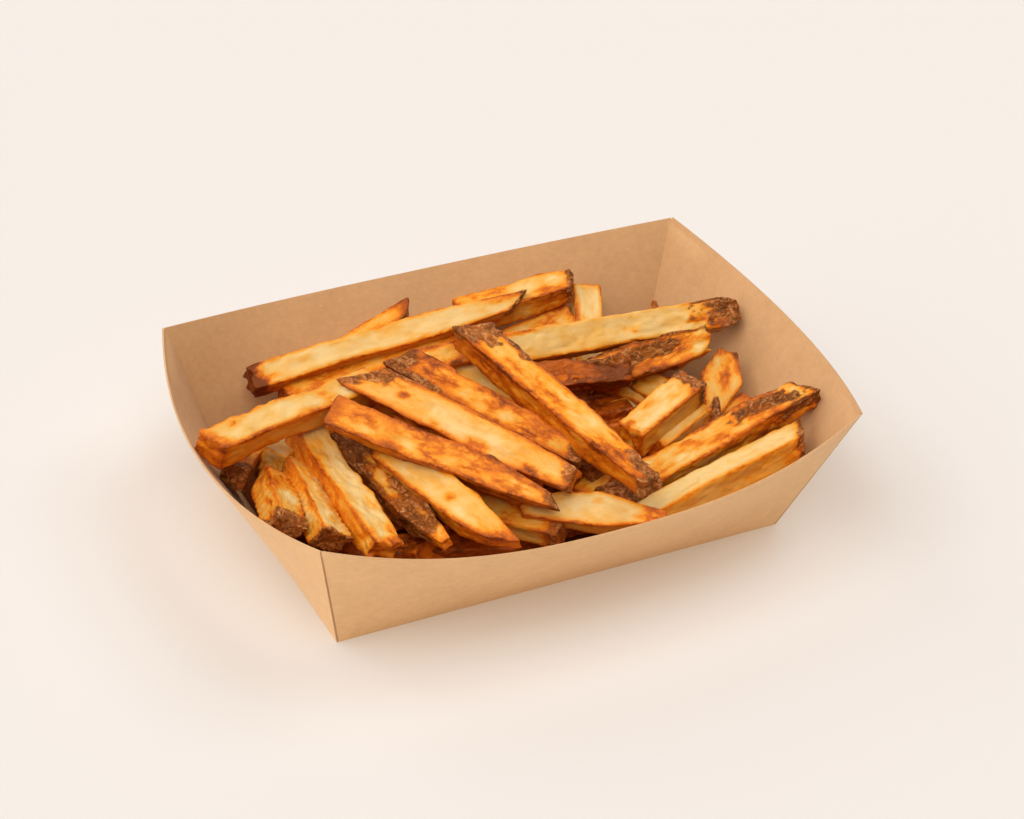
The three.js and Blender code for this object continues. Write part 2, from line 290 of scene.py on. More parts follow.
def ring_square(count):
    """Points round a unit square, closer to each other near the corners."""
    place = (np.arange(count) + 0.5) / count * 2.0 - 1.0
    place = np.sign(place) * (1.0 - (1.0 - np.abs(place)) ** 1.25)
    one = np.ones(count)
    return np.concatenate([one, -place, -one, place]), np.concatenate([place, one, -place, -one])


class Fry:
    """One fry in rings of points (mm): x to its right, y to its top and z along it, with its browning."""

    def __init__(self, row, spacing, hollow):
        self.row, self.seed = row, row["seed"]
        self.width, self.depth = row["width"], row["depth"]
        self.tail = np.array(row["tail"], float)
        along = np.array(row["tip"], float) - self.tail
        self.length = np.linalg.norm(along)
        if self.length < 2.0 * END_ROUND:
            raise ValueError(f"the fry {row['name']!r} is too short for its round ends")
        self.axis = along / self.length
        top = np.array([0.0, 0.0, 1.0]) - self.axis * self.axis[2]
        top /= np.linalg.norm(top)
        angle = math.radians(row["roll"])
        self.top = top * math.cos(angle) + np.cross(self.axis, top) * math.sin(angle)
        self.right = np.cross(self.axis, self.top)
        self.lay_rings(spacing)
        self.cut_section(hollow)
        self.measure_edges()
        self.brown()
        self.mark()
        self.roughen()

    def noise(self, name, shift=0.0):
        wavelength, seed, layers = NOISE[name]
        return layered_noise(self.grain / wavelength + shift, seed, layers)

    def lay_rings(self, spacing):
        """Rings from the tail to the tip, with those that close the ends."""
        around = max(6, int(round(0.5 * (self.width + self.depth) / (0.85 * spacing))))
        along = max(14, int(round(self.length / (1.2 * spacing))))
        self.sx, self.sy = ring_square(around)
        closing = len(CAP_SHRINK)
        body = np.linspace(END_ROUND / self.length, 1.0 - END_ROUND / self.length, along)
        self.at = np.concatenate([np.full(closing, 0.0), body, np.full(closing, 1.0)])
        self.ring = np.concatenate([CAP_SHRINK[::-1], np.ones(along), CAP_SHRINK])[:, None]
        reach = np.concatenate([-np.array(CAP_REACH[::-1]), np.zeros(along), CAP_REACH]) * END_ROUND
        line = np.where(self.at == 0.0, body[0], np.where(self.at == 1.0, body[-1], self.at))
        self.line = line * self.length + reach
        self.a = self.at[:, None] * np.ones((1, len(self.sx)))

    def cut_section(self, hollow):
        """A square with round corners and hollow faces, narrow ends and slanted cuts."""
        row, a, ring = self.row, self.a, self.ring
        tail_narrowing, tip_narrowing = row.get("narrowing", (0.3, 0.3))
        size = np.ones(len(self.at))
        ends = ((self.at, "tail_size", tail_narrowing), (1.0 - self.at, "tip_size", tip_narrowing))
        for end, key, over in ends:
            share = row.get(key, 1.0)
            size *= share + (1.0 - share) * np.minimum(1.0, end / over) ** row.get("profile", 1.0)
        self.size = size[:, None]
        sx, sy = self.sx, self.sy
        radius = (np.abs(sx) ** SQUARENESS + np.abs(sy) ** SQUARENESS) ** (-1.0 / SQUARENESS)
        sunk = 1.0 - hollow * 2.0 * (1.0 - np.minimum(np.abs(sx), np.abs(sy)) ** 2)
        self.x0 = x0 = (sx * radius * sunk)[None, :]
        self.y0 = y0 = (sy * radius * sunk)[None, :]
        self.x = x0 * self.width / 2.0 * self.size * ring
        self.y = y0 * self.depth / 2.0 * self.size * ring
        tail_part = np.maximum(0.0, 1.0 - a / tail_narrowing)
        tip_part = np.maximum(0.0, 1.0 - (1.0 - a) / tip_narrowing)
        tail_cut = -(row.get("tail_slant", 0.0) * x0 + row.get("tail_lift", 0.0) * y0) / 2.0 * ring
        tip_cut = (row.get("tip_slant", 0.0) * x0 + row.get("tip_lift", 0.0) * y0) / 2.0 * ring
        self.z = self.line[:, None] + tail_cut * tail_part + tip_cut * tip_part
        # where the noise is read: a place of its own for each fry
        own_place = np.array([self.seed * 61.7, self.seed * 23.1, self.seed * 47.9])
        self.grain = np.stack([self.z, self.x, self.y], axis=-1) + own_place
        self.clouds, self.patches, self.streaks, self.specks = (
            self.noise(name) for name in ("clouds", "patches", "streaks", "specks"))

    def measure_edges(self):
        """How far the edges and ends are (mm), and how much of each side a point is on."""
        sx, sy = self.sx, self.sy
        beside = np.abs(sx) >= np.abs(sy)
        gap = np.where(beside, (1.0 - np.abs(sy)) * self.depth / 2.0, (1.0 - np.abs(sx)) * self.width / 2.0)
        gap = gap[None, :] * self.size
        self.gap = np.where(self.ring < 1.0, (1.0 - self.ring) * min(self.width, self.depth) / 2.0, gap)
        corner = np.where(sy > 0, np.where(sx > 0, 0, 1), np.where(sx > 0, 2, 3))
        self.rims = np.array((*self.row.get("rims", ()), 1.0, 1.0, 1.0, 1.0)[:4])[corner][None, :]
        self.sides = {side: smoothstep(0.6, 0.97, way) * np.ones_like(self.a) for side, way in (
            ("right", self.x0), ("top", self.y0), ("left", -self.x0))}
        self.sides["all"] = np.ones_like(self.a)

    def brown(self):
        """How crisp each point is: the tone of the faces, then browned edges and ends."""
        row, gap, patches, streaks = self.row, self.gap, self.patches, self.streaks
        smear = smoothstep(0.15, 0.85, 0.6 * streaks + 0.5 * patches)
        uneven = 0.75 * patches + 0.50 * self.clouds + 0.25 * self.specks + 0.8 * smear
        crisp = row.get("tone", 0.25) + row.get("patchy", 0.16) * uneven
        # painted shade: the right side, the one in shade, is made a darker amber
        crisp += self.sides["right"] * row.get("right", 0.0)
        band = 1.0 - smoothstep(*EDGE_BAND, gap + 0.7 * patches)
        self.edge = 1.0 - smoothstep(*EDGE_LINE, gap + 0.4 * patches + 0.25 * self.specks)
        flare = smoothstep(0.42, 0.9, 0.75 * np.exp(-gap / 1.8) + 0.4 * streaks + 0.05)
        broken = np.clip(0.65 + 0.8 * self.noise("edges"), 0.1, 1.4)
        crust = self.rims * (0.14 * band + 0.66 * self.edge * broken + 0.18 * flare * (1.0 - 0.4 * self.edge))
        for far, which in ((self.a * self.length, "tail_end"), ((1.0 - self.a) * self.length, "tip_end")):
            rim_line, spread, face = row.get(which, PLAIN_END)
            crust += rim_line * np.exp(-far / (0.9 + 0.5 * np.clip(patches, -0.8, 1.0))) * (self.ring >= 0.9)
            crust += face * smoothstep(0.02, 0.2, 1.0 - self.ring) * (far < self.length / 2.0)
            if spread:
                crust += 0.34 * (1.0 - smoothstep(0.1 * spread, spread, far + 1.8 * patches + 1.6 * streaks))
        crisp += CRUST_LIMIT * (1.0 - np.exp(-np.maximum(crust, 0.0) / CRUST_LIMIT))
        over = np.maximum(0.0, crisp - KNEE)
        self.crisp = crisp - over + KNEE_ROOM * (1.0 - np.exp(-over / KNEE_ROOM))

    def mark(self):
        """Patches of skin, flesh where the skin is off, and browned and pale spots."""
        self.peel = np.zeros_like(self.a)
        for what, side, place, *spot, strength in self.row.get("marks", ()):
            if side == "all":
                half_long, off = spot[0], 0.0
            else:
                across, half_long, half_wide = spot
                points, size = (self.x, self.width) if side == "top" else (self.y, self.depth)
                off = (points - across * size / 2.0) / half_wide
            far = np.sqrt(((self.a - place) * self.length / half_long) ** 2 + off ** 2)
            far = far * (1.0 + 0.22 * self.patches) + 0.22 * self.specks + 0.16 * self.streaks
            share = strength * self.sides[side] * (1.0 - smoothstep(*MARK_FADE[what], far))
            if what == "skin":
                self.peel = np.maximum(self.peel, share)
                browned_round = self.sides[side] * (1.0 - smoothstep(0.75, 1.3, far))
                self.crisp += 0.28 * browned_round * np.maximum(0.0, 0.75 - self.crisp)
            elif what == "bare":
                self.peel = self.peel * (1.0 - share)
                self.crisp -= 0.25 * share
            elif what == "pale":
                self.crisp -= share
            else:
                self.crisp += share * np.clip(1.3 - self.crisp, 0.0, 1.0)
        self.crisp += 0.15 * self.peel

    def roughen(self):
        """Moves the points in and out: bulges, wrinkles, folds of skin, chipped edges and ragged ends."""
        row, crisp, peel = self.row, self.crisp, self.peel
        wrinkle = row.get("wrinkle", 1.0)
        bands = self.noise("bands", 0.35 * self.streaks[..., None])
        self.crisp = crisp = crisp + 0.07 * bands
        rough = 0.36 * self.noise("bulges")
        rough = rough + 0.28 * wrinkle * self.noise("dents") + 0.10 * self.streaks
        rough = rough + 0.16 * wrinkle * self.noise("ripples") + 0.20 * wrinkle * bands
        folds = 1.0 - 2.4 * np.abs(self.noise("folds"))
        rough = rough + (0.30 * folds + 0.12 * self.noise("grit")) * np.clip(peel, 0.0, 1.0) * wrinkle
        creases = np.maximum(0.0, 1.0 - 5.0 * np.abs(self.noise("creases")))
        rough = rough - 0.13 * creases * wrinkle * smoothstep(0.15, 0.5, crisp)
        rough = rough + 0.20 * (self.edge - 0.3) * np.clip(crisp - 0.25, 0.0, 0.7)
        rough = rough - 0.32 * np.maximum(0.0, self.noise("chips")) * self.edge * wrinkle
        if "ribs" in row:
            ribs = 2.0 * math.pi * (self.z / 2.6 + 0.45 * np.abs(self.x)) + 1.6 * self.patches
            rough = rough + row["ribs"] * np.sin(ribs)
        rough = rough * np.minimum(1.0, min(self.width, self.depth) * self.size / 8.0)
        out = np.stack([self.x0 * np.ones_like(self.a), self.y0 * np.ones_like(self.a)], axis=-1)
        out /= np.linalg.norm(out, axis=-1, keepdims=True)
        self.x = self.x + out[..., 0] * rough * self.ring
        self.y = self.y + out[..., 1] * rough * self.ring
        cap = (self.at == 0.0) * -1.0 + (self.at == 1.0) * 1.0
        self.z = self.z + cap[:, None] * row.get("ragged", 0.55) * self.noise("ragged")

    def placed(self):
        """The points where they lie in the heap, bent and swaying about the middle line."""
        a = self.a
        bow_right, bow_up = self.row.get("bow", (0.0, 0.0))
        arch = 4.0 * a * (1.0 - a)
        hold = np.minimum(1.0, 2.0 * np.minimum(a, 1.0 - a) + 0.3)  # the ends sway less
        place = a * self.length / SWAY_LENGTH + self.seed
        drift_right, drift_up = (
            smooth_noise(np.stack([place, a * 0 + track, a * 0], -1), SWAY_SEED) * hold
            for track in (0.5, 7.5))
        x = self.x + bow_right * arch + SWAY * drift_right
        y = self.y + bow_up * arch + SWAY * drift_up
        return self.tail + self.z[..., None] * self.axis + x[..., None] * self.right + y[..., None] * self.top

    def mesh(self):
        """Points (mm), faces and point attributes, closed at both ends."""

        def closed(values):
            """The values ring by ring, then those of the last point of each end."""
            ends = np.stack([values[0].mean(0), values[-1].mean(0)])
            return np.concatenate([values.reshape(-1, *values.shape[2:]), ends])

        points = self.placed()
        verts = closed(points)
        reach = self.axis * POLE_REACH
        verts[-2:] += np.stack([-reach, reach])
        first, last = len(verts) - 2, len(verts) - 1
        index = np.arange(first).reshape(points.shape[:2])
        beside = np.roll(index, -1, axis=1)
        quads = np.stack([index[:-1], index[1:], beside[1:], beside[:-1]], axis=-1).reshape(-1, 4)
        faces = [tuple(f) for f in quads]
        faces += [(first, a, b) for a, b in zip(index[0], beside[0])]
        faces += [(last, b, a) for a, b in zip(index[-1], beside[-1])]
        return verts, faces, {
            "crisp": closed(self.crisp), "peel": closed(self.peel), "grain": closed(self.grain) * MM}


def joined_fries(name, rows, looks, spacing=None, tray=None):
    """One object of all the fries in rows, pressed back where they would stand through the tray."""
    verts, faces, attributes = [], [], {}
    offset = 0
    for row in rows:
        spread = (spacing or looks.spacing) / MM * row.get("coarse", 1.0)
        points, quads, values = Fry(row, spread, looks.hollow).mesh()
        if tray is not None:
            points = kept_inside(tray, points)
        verts.append(points * MM)
        faces += [tuple(i + offset for i in f) for f in quads]
        offset += len(points)
        for key, value in values.items():
            attributes.setdefault(key, []).append(value)
    attributes = {key: np.concatenate(value) for key, value in attributes.items()}
    piece = mesh_object(name, np.concatenate(verts), faces, attributes)
    shade_smooth(piece.data)
    return piece


# ---------------------------------------------------------------- the fries that show

# Millimetres. "right" and "left" are seen looking from the tail to the tip, and across runs from left (-1)
# to right (1) on the top, and from bottom to top on the sides.
SHOWN = [
    # along the back wall
    fry("long and pale, dark end", (-59, 42, 27.5), (26, 43, 33.5), 8, 6.5, 30, "pale", tip_size=0.6,
        tip_slant=-8, tone=0.06, right=0.26, patchy=0.10, rims=(1.0, 1.1), tail_end=(0.5, 4, 0.55),
        tip_end=(0.5, 4, 0.45), ragged=1.2,
        marks=[("brown", "all", 0.0, 5.5, 0.8), ("brown", "right", 0.04, -0.4, 6, 3.5, 0.5),
               ("brown", "top", 0.06, 0.3, 5, 1.6, 0.35), ("brown", "top", 0.92, -0.5, 9, 2.2, 0.34),
               ("skin", "all", 1.0, 2.6, 1.0)]),
    fry("behind it, pointed tip", (9, 49, 28), (45, 46, 33), 9, 8, 10, "golden", tip_slant=-3, tip_size=0.8,
        tone=0.22, right=0.10, rims=(1.2, 1), tip_end=(0.6, 6, 0.4), patchy=0.22,
        marks=[("skin", "all", 1.0, 2.5, 1.0), ("brown", "right", 0.95, 0.2, 6, 4, 0.35)]),
    fry("short tip on the left", (-48, 43, 19), (-6, 51, 33.5), 6.5, 7, 15, "golden", tip_size=0.7,
        tip_slant=-4, tone=0.3, tip_end=(0.7, 6, 0.4), marks=[("brown", "all", 1.0, 5, 0.3),
        ("skin", "right", 0.97, 0.3, 5, 3, 0.9)]),
    fry("upright and flat", (37, 16, 12), (50.5, 48, 29), 9, 6, 8, "pale", tone=0.06, right=0.25,
        tip_end=(0.6, 1.6, 0.4), marks=[("brown", "top", 0.72, -0.9, 9, 2.0, 0.4)]),
    fry("small dark tip at the back", (56, 20, 9), (65.5, 33, 30.5), 7.5, 6, -5, "browned", tip_size=0.2,
        narrowing=(0.3, 0.35), tone=0.6, tip_end=(0.5, 6, 0.3), marks=[("skin", "all", 1.0, 4, 0.9)]),
    fry("in the shade below", (8, 40, 17), (44, 44, 23), 8, 8, 25, "golden", tone=0.36, patchy=0.25),
    fry("short browned crust", (-21.5, 31, 29), (4, 29, 30), 7.5, 7, 30, "browned", tail_size=0.5, tone=0.36,
        patchy=0.3, rims=(1.3, 1.1), marks=[("brown", "top", 0.75, 0.7, 2.4, 1.3, 0.6)]),
    # across the middle, on top
    fry("diagonal, skin at both ends", (-0.5, 22.5, 41.5), (15, -53, 38.5), 9.5, 9.5, 11, "golden",
        tail_slant=7, tip_size=0.6, tone=0.30, right=0.22, patchy=0.26, rims=(1.6, 1.5, 1.4),
        tip_end=(0.5, 12, 0.3),
        marks=[("skin", "top", 0.04, 0.0, 9.5, 6.5, 1.0), ("skin", "top", 0.18, -0.85, 12, 1.7, 1.0),
               ("skin", "right", 0.0, 0.5, 5, 3, 0.9), ("brown", "right", 0.2, 0.7, 15, 1.3, 0.4),
               ("skin", "top", 0.93, -0.35, 8, 3.2, 1.0), ("brown", "top", 0.8, 0.2, 13, 3.5, 0.25),
               ("skin", "all", 1.0, 3.5, 0.9)]),
    fry("mottled, beside the diagonal", (-21, 25, 36), (7.5, -30, 33), 9, 8.5, 27, "browned", tail_slant=6,
        tip_size=0.6, tone=0.33, right=0.40, patchy=0.32, rims=(1.8, 1.7, 1.4), tail_end=(0.5, 8, 0.3),
        tip_end=(0.5, 8, 0.4),
        marks=[("skin", "top", 0.0, 0.0, 7, 6, 0.8), ("skin", "top", 0.17, 0.75, 10, 1.7, 0.9),
               ("skin", "all", 1.0, 4.5, 0.8), ("pale", "top", 0.38, 0, 7, 2.4, 0.08),
               ("pale", "top", 0.62, -0.1, 6, 2, 0.06)]),
    fry("large and pale, skin on its slanted end", (-35.5, 18, 39.5), (-2.5, -42.5, 37.5), 10, 8, 44, "pale",
        tail_slant=14, tip_size=0.7, tone=0.22, right=0.32, patchy=0.12, rims=(1.3, 1.6),
        tip_end=(0.6, 3, 0.4),
        marks=[("skin", "top", 0.0, -0.5, 11, 4.6, 1.0), ("skin", "top", 0.12, -0.95, 8, 1.6, 1.0),
               ("skin", "top", -0.02, 0.5, 7, 3.6, 1.0), ("skin", "right", 0.0, 0.6, 5, 2.4, 1.0),
               ("pale", "top", 0.45, 0.1, 18, 3, 0.12), ("brown", "top", 0.214, 0.0, 2.7, 1.9, 0.55),
               ("brown", "top", 0.59, 0.5, 5, 2.2, 0.34), ("brown", "top", 0.83, 0.5, 3.4, 1.8, 0.5),
               ("brown", "top", 0.87, 1.0, 4, 1.3, 0.35), ("brown", "top", 0.92, 0.45, 2.6, 1.6, 0.3),
               ("skin", "top", 1.0, -0.3, 3.5, 4.5, 0.8)]),
    fry("orange gold, thin tip", (-50.5, 6.5, 39.5), (-9, -45, 34.5), 9, 8, 38, "golden", tip_size=0.4,
        tip_slant=5, tone=0.42, right=0.14, patchy=0.24, rims=(1.4, 1.6, 1.3), tail_end=(0.5, 5, 0.3),
        marks=[("brown", "top", 0.0, 0, 4, 5, 0.15), ("pale", "top", 0.2, 0.2, 4, 2.5, 0.16),
               ("pale", "top", 0.4, 0.0, 7, 2.5, 0.14), ("pale", "top", 0.85, 0.1, 10, 3, 0.16),
               ("brown", "right", 0.77, 0, 10, 1.8, 0.45), ("brown", "top", 0.3, 0.7, 6, 1.6, 0.25),
               ("skin", "all", 1.02, 6.5, 0.75)]),
    fry("over the left rim", (-87, 5, 38), (-32, 21, 33.5), 8.7, 8.7, 14, "golden", tail_slant=-3, tone=0.13,
        right=0.20, patchy=0.13, rims=(1.4, 1.2, 1.2), tail_end=(0.5, 3.5, 0.4),
        marks=[("brown", "top", 0.02, 0.2, 4, 4, 0.16)]),
    # right half
    fry("large and pale, dark cap", (5, 23, 33.5), (84.5, 17.5, 32.5), 9.3, 8.5, 44, "pale", tip_size=0.4,
        narrowing=(0.3, 0.07), profile=0.5, tone=0.10, right=0.16, patchy=0.09, rims=(0.5, 0.4),
        tip_end=(0.3, 3, 0.3),
        marks=[("skin", "top", 1.0, -0.6, 19, 4.4, 1.0), ("skin", "top", 1.0, 0.2, 13, 9, 1.0),
               ("skin", "top", 0.84, -1.0, 6, 1.4, 0.9), ("skin", "left", 0.95, 0.5, 10, 6, 1.0),
               ("skin", "all", 1.0, 5, 1.0), ("brown", "top", 0.98, 0, 15, 9, 0.6),
               ("brown", "top", 0.865, 0.35, 2.0, 1.4, 0.5), ("brown", "top", 0.72, 0.11, 6, 2, 0.12),
               ("brown", "top", 0.90, 0.6, 5, 2.0, 0.25), ("pale", "top", 0.84, 0.0, 4, 2.0, 0.2),
               ("brown", "top", 0.521, 0.04, 1.1, 0.7, 0.3), ("brown", "top", 0.56, 0.3, 1.4, 0.7, 0.3),
               ("brown", "top", 0.1, -0.8, 8, 1.3, 0.35)]),
    fry("very browned", (14, 16, 27.5), (41, 3.5, 31.5), 8, 8, 38, "browned", tone=0.92, patchy=0.36,
        wrinkle=2.0, tip_end=(0.4, 6, 0.4),
        marks=[("brown", "top", 0.8, 0, 9, 5, 0.5), ("brown", "right", 0.8, 0, 9, 5, 0.5),
               ("skin", "top", 0.8, -0.6, 7, 2, 0.8), ("brown", "right", 0.3, -0.4, 12, 2, 0.4)]),
    fry("browned, skin on, frayed end", (34, 14, 24.5), (66.5, 5.5, 34), 10, 8, 40, "skinned", tip_size=0.75,
        tone=0.38, patchy=0.34, wrinkle=1.6, tip_end=(0.3, 0, 0.1), ragged=2.6, tip_slant=-4,
        marks=[("skin", "top", 0.5, -0.3, 13, 3.3, 0.9), ("skin", "top", 0.2, 0.2, 8, 3, 0.8),
               ("skin", "left", 0.5, 0, 30, 6, 1.0), ("skin", "right", 0.5, -0.2, 11, 3, 0.7),
               ("bare", "top", 0.95, 0.4, 4, 3, 0.7), ("pale", "all", 0.97, 3.5, 0.2)]),
    fry("in the hollow", (45.5, 21, 20.5), (54, -1, 20.5), 8, 7, 30, "golden", tone=0.16, wrinkle=1.2,
        marks=[("skin", "all", 0.42, 3.5, 0.9)]),
    fry("in the hollow, lower", (41, 17, 17.5), (53, 3, 16), 8, 8, 25, "golden", tone=0.22, bow=(0, 1.5)),
    fry("in the hollow, lowest", (33, 4, 14), (52, 6, 14), 10, 8, 30, "pale", tone=0.12),
    fry("bright stub, skin on its end", (26.5, -22.5, 29.5), (53, -10.5, 32.5), 9.5, 9, 2, "pale", tone=0.06,
        right=0.26, rims=(0.9, 0.8), tail_end=(0.25, 1.5, 0.12), tip_end=(0.4, 3, 0.4),
        marks=[("skin", "top", 0.99, -0.3, 6, 6, 1.0), ("skin", "top", 1.0, 0.6, 7.5, 4, 1.0),
               ("skin", "top", 0.85, -0.95, 4.5, 1.5, 0.9), ("skin", "all", 1.0, 4, 1.0),
               ("brown", "top", 0.055, -0.3, 2.8, 1.7, 0.45), ("brown", "top", 0.37, -0.47, 3.6, 1.5, 0.28)]),
    fry("under the stub", (34, -22, 24), (55, -12.5, 25), 9.5, 8, 4, "pale", tone=0.16, patchy=0.12,
        tip_end=(0.6, 6, 0.3)),
    fry("small dark tip", (55.5, -20, 17), (61, -11.5, 27.5), 5.5, 6, -5, "browned", tip_size=0.25,
        narrowing=(0.3, 0.5), tone=0.6, tip_end=(0.5, 6, 0.3), marks=[("skin", "all", 0.9, 5, 0.9)]),
    fry("flat wedge", (60.5, -11.5, 18), (75, 6, 28), 12.5, 5, 8, "golden", tail_size=0.12, tip_size=0.45,
        narrowing=(0.55, 0.4), tone=0.30, patchy=0.3, rims=(0.9, 0.9), wrinkle=1.4,
        marks=[("brown", "top", 0.96, 0.44, 2.6, 2, 0.5), ("brown", "top", 0.5, 0.3, 5, 1.5, 0.2)]),
    fry("under the wedge", (66, -10, 14), (76, -8, 19), 8, 7, 20, "golden", tone=0.36),
    fry("long, skin on", (23, -35, 23.5), (80.5, -26.5, 34), 9.5, 8.5, 6, "skinned", tip_size=0.8,
        tip_slant=6, tone=0.20, right=0.2, patchy=0.3, wrinkle=1.3, tip_end=(0.5, 3, 0.4),
        marks=[("skin", "top", 0.66, -0.3, 9, 3, 0.95), ("skin", "top", 0.82, 0.0, 8, 3.4, 0.95),
               ("skin", "right", 0.88, 0.4, 9, 3, 0.9), ("skin", "left", 0.6, 0, 30, 6, 1.0),
               ("pale", "top", 0.9, -0.75, 5, 1.5, 0.2), ("brown", "top", 0.4, 0.3, 10, 2.5, 0.18),
               ("brown", "top", 0.74, -0.2, 14, 4, 0.3), ("skin", "all", 1.0, 2, 0.9)]),
    fry("long, pale yellow", (15.5, -49, 22.5), (73, -38.5, 28.5), 8, 9, -10, "pale", tip_size=0.9,
        tip_slant=-6, tone=0.06, right=0.24, patchy=0.1, rims=(0.35, 0.5), tip_end=(0.6, 5, 0.35),
        marks=[("skin", "all", 1.01, 3.2, 1.0)]),
    # front, right of the middle
    fry("pale leaf under the long tips", (-13, -34.5, 26), (20, -55, 28), 10.5, 8, 34, "pale", tail_size=0.6,
        tip_size=0.3, narrowing=(0.5, 0.45), tone=0.08, right=0.22, rims=(1.1, 1.5), tip_end=(0.6, 7, 0.3),
        marks=[("brown", "top", 0.92, 0, 6, 3.5, 0.28)]),
    fry("end in a gap", (9, -31, 19), (22, -24, 23), 8, 8, 0, "golden", tone=0.32),
    fry("skinned end in a gap", (8, -38, 23.5), (27, -40, 24.5), 8, 7, 25, "skinned", tone=0.5,
        marks=[("skin", "all", 0.5, 30, 0.9)]),
    fry("browned end in a gap", (11, -6, 26), (14, -29, 27), 8, 8, 20, "browned", tone=0.42, patchy=0.3,
        marks=[("skin", "all", 0.95, 6, 0.7)]),
    fry("low end in a gap", (12, -12, 15), (21, -24, 15), 7, 7, 30, "golden", tone=0.4),
    fry("pale end behind the diagonal", (-1, 33, 26), (11, 9, 25), 10, 8, 30, "pale", tone=0.20),
    fry("low end at the front", (-21, -22, 19), (-5, -44, 22), 8, 8, 20, "golden", tone=0.28,
        tip_end=(0.6, 6, 0.3), marks=[("skin", "all", 1.0, 4, 0.6)]),
    # front left corner
    fry("gold, brown edge", (-38, -3, 29), (-27, -52, 31), 10, 8, 25, "golden", tip_size=0.5, tip_slant=-8,
        tone=0.16, right=0.24, patchy=0.15, rims=(1.1, 1.2), tip_end=(0.6, 5, 0.3),
        marks=[("brown", "top", 0.58, 0.0, 2.6, 1.8, 0.35), ("brown", "top", 0.97, 0.2, 5, 5, 0.25),
               ("brown", "right", 0.85, 0, 8, 3, 0.2)]),
    fry("dark and wrinkled, skin on", (-42, 18, 20), (-39, -42, 27), 8.5, 8, 20, "skinned", tip_size=0.35,
        tone=0.42, patchy=0.3, wrinkle=1.8,
        marks=[("skin", "all", 0.5, 70, 0.74), ("bare", "top", 0.44, 0.1, 7.5, 2.6, 1.0),
               ("bare", "top", 0.60, 0.35, 3.5, 1.3, 0.6), ("bare", "top", 0.30, -0.3, 4, 1.6, 0.8),
               ("bare", "right", 0.6, 0.2, 6, 1.6, 0.7), ("bare", "top", 0.78, -0.2, 3.5, 1.0, 0.5),
               ("pale", "top", 0.45, 0.1, 5, 2, 0.3), ("bare", "all", 1.0, 6, 1.0)]),
    fry("gold, rough end", (-53, 20, 24), (-57, -42, 30), 10, 9, -10, "golden", tip_size=0.85, tip_lift=4,
        tone=0.14, right=0.28, patchy=0.16, rims=(0.9, 0.7), tip_end=(0.6, 1.5, 0.2), ragged=1.6, wrinkle=1.3,
        marks=[("brown", "top", 0.97, 0, 2.0, 6, 0.35), ("brown", "top", 0.66, 0.5, 5, 1.6, 0.14)]),
    fry("pale, dark end", (-59.5, 13, 22), (-68, -32, 28.5), 9.5, 8, -30, "pale", tail_size=0.25, tip_lift=4,
        tone=0.08, right=0.2, rims=(0.9, 0.5), tail_end=(0.6, 9, 0.4), tip_end=(0.6, 1.5, 0.5), ribs=0.22,
        wrinkle=1.3, marks=[("brown", "right", 0.35, 0, 14, 4, 0.25), ("skin", "all", 1.0, 1.3, 1.0)]),
    fry("browned, skin on its end", (-67.5, 10, 23), (-77.5, -25, 29.5), 9.5, 8.5, -32, "browned",
        tail_size=0.3, tip_lift=2, tone=0.36, patchy=0.3, ribs=0.20, wrinkle=1.4, tail_end=(0.6, 6, 0.4),
        tip_end=(0.4, 3, 0.3), marks=[("skin", "all", 1.02, 7, 1.0),
        ("pale", "right", 0.45, 0.2, 9, 1.4, 0.16)]),
    fry("short, skin on", (-62, 30, 15.5), (-78.5, 7.5, 24.5), 8, 7, -10, "skinned", tone=0.24,
        tip_end=(0.6, 4, 0.4), marks=[("skin", "all", 1.0, 6, 1.0), ("skin", "right", 0.7, 0, 11, 4, 0.8)]),
    fry("pale and blunt", (-45, 33, 14), (-65, 12, 22.5), 7.5, 7, -8, "pale", tone=0.08, rims=(0.4, 0.4),
        tip_end=(0.2, 0, 0)),
    # in the second layer, mostly out of sight
    fry("in the second layer", (-50, 37, 22), (4, 43, 26), 9, 8, 10, "browned", tone=0.4, coarse=1.7),
    fry("in the second layer", (-27, 24, 28), (2, -22, 26), 9, 8, 20, "browned", tone=0.4, coarse=1.7),
    fry("in the second layer", (-28, 9, 30), (-9, -34, 28), 9, 9, 10, "browned", tone=0.4, coarse=1.7),
    fry("in the second layer", (62, -22, 19), (8, -34, 17), 9, 9, 15, "browned", tone=0.42, coarse=1.7),
]


# ---------------------------------------------------------------- finishes


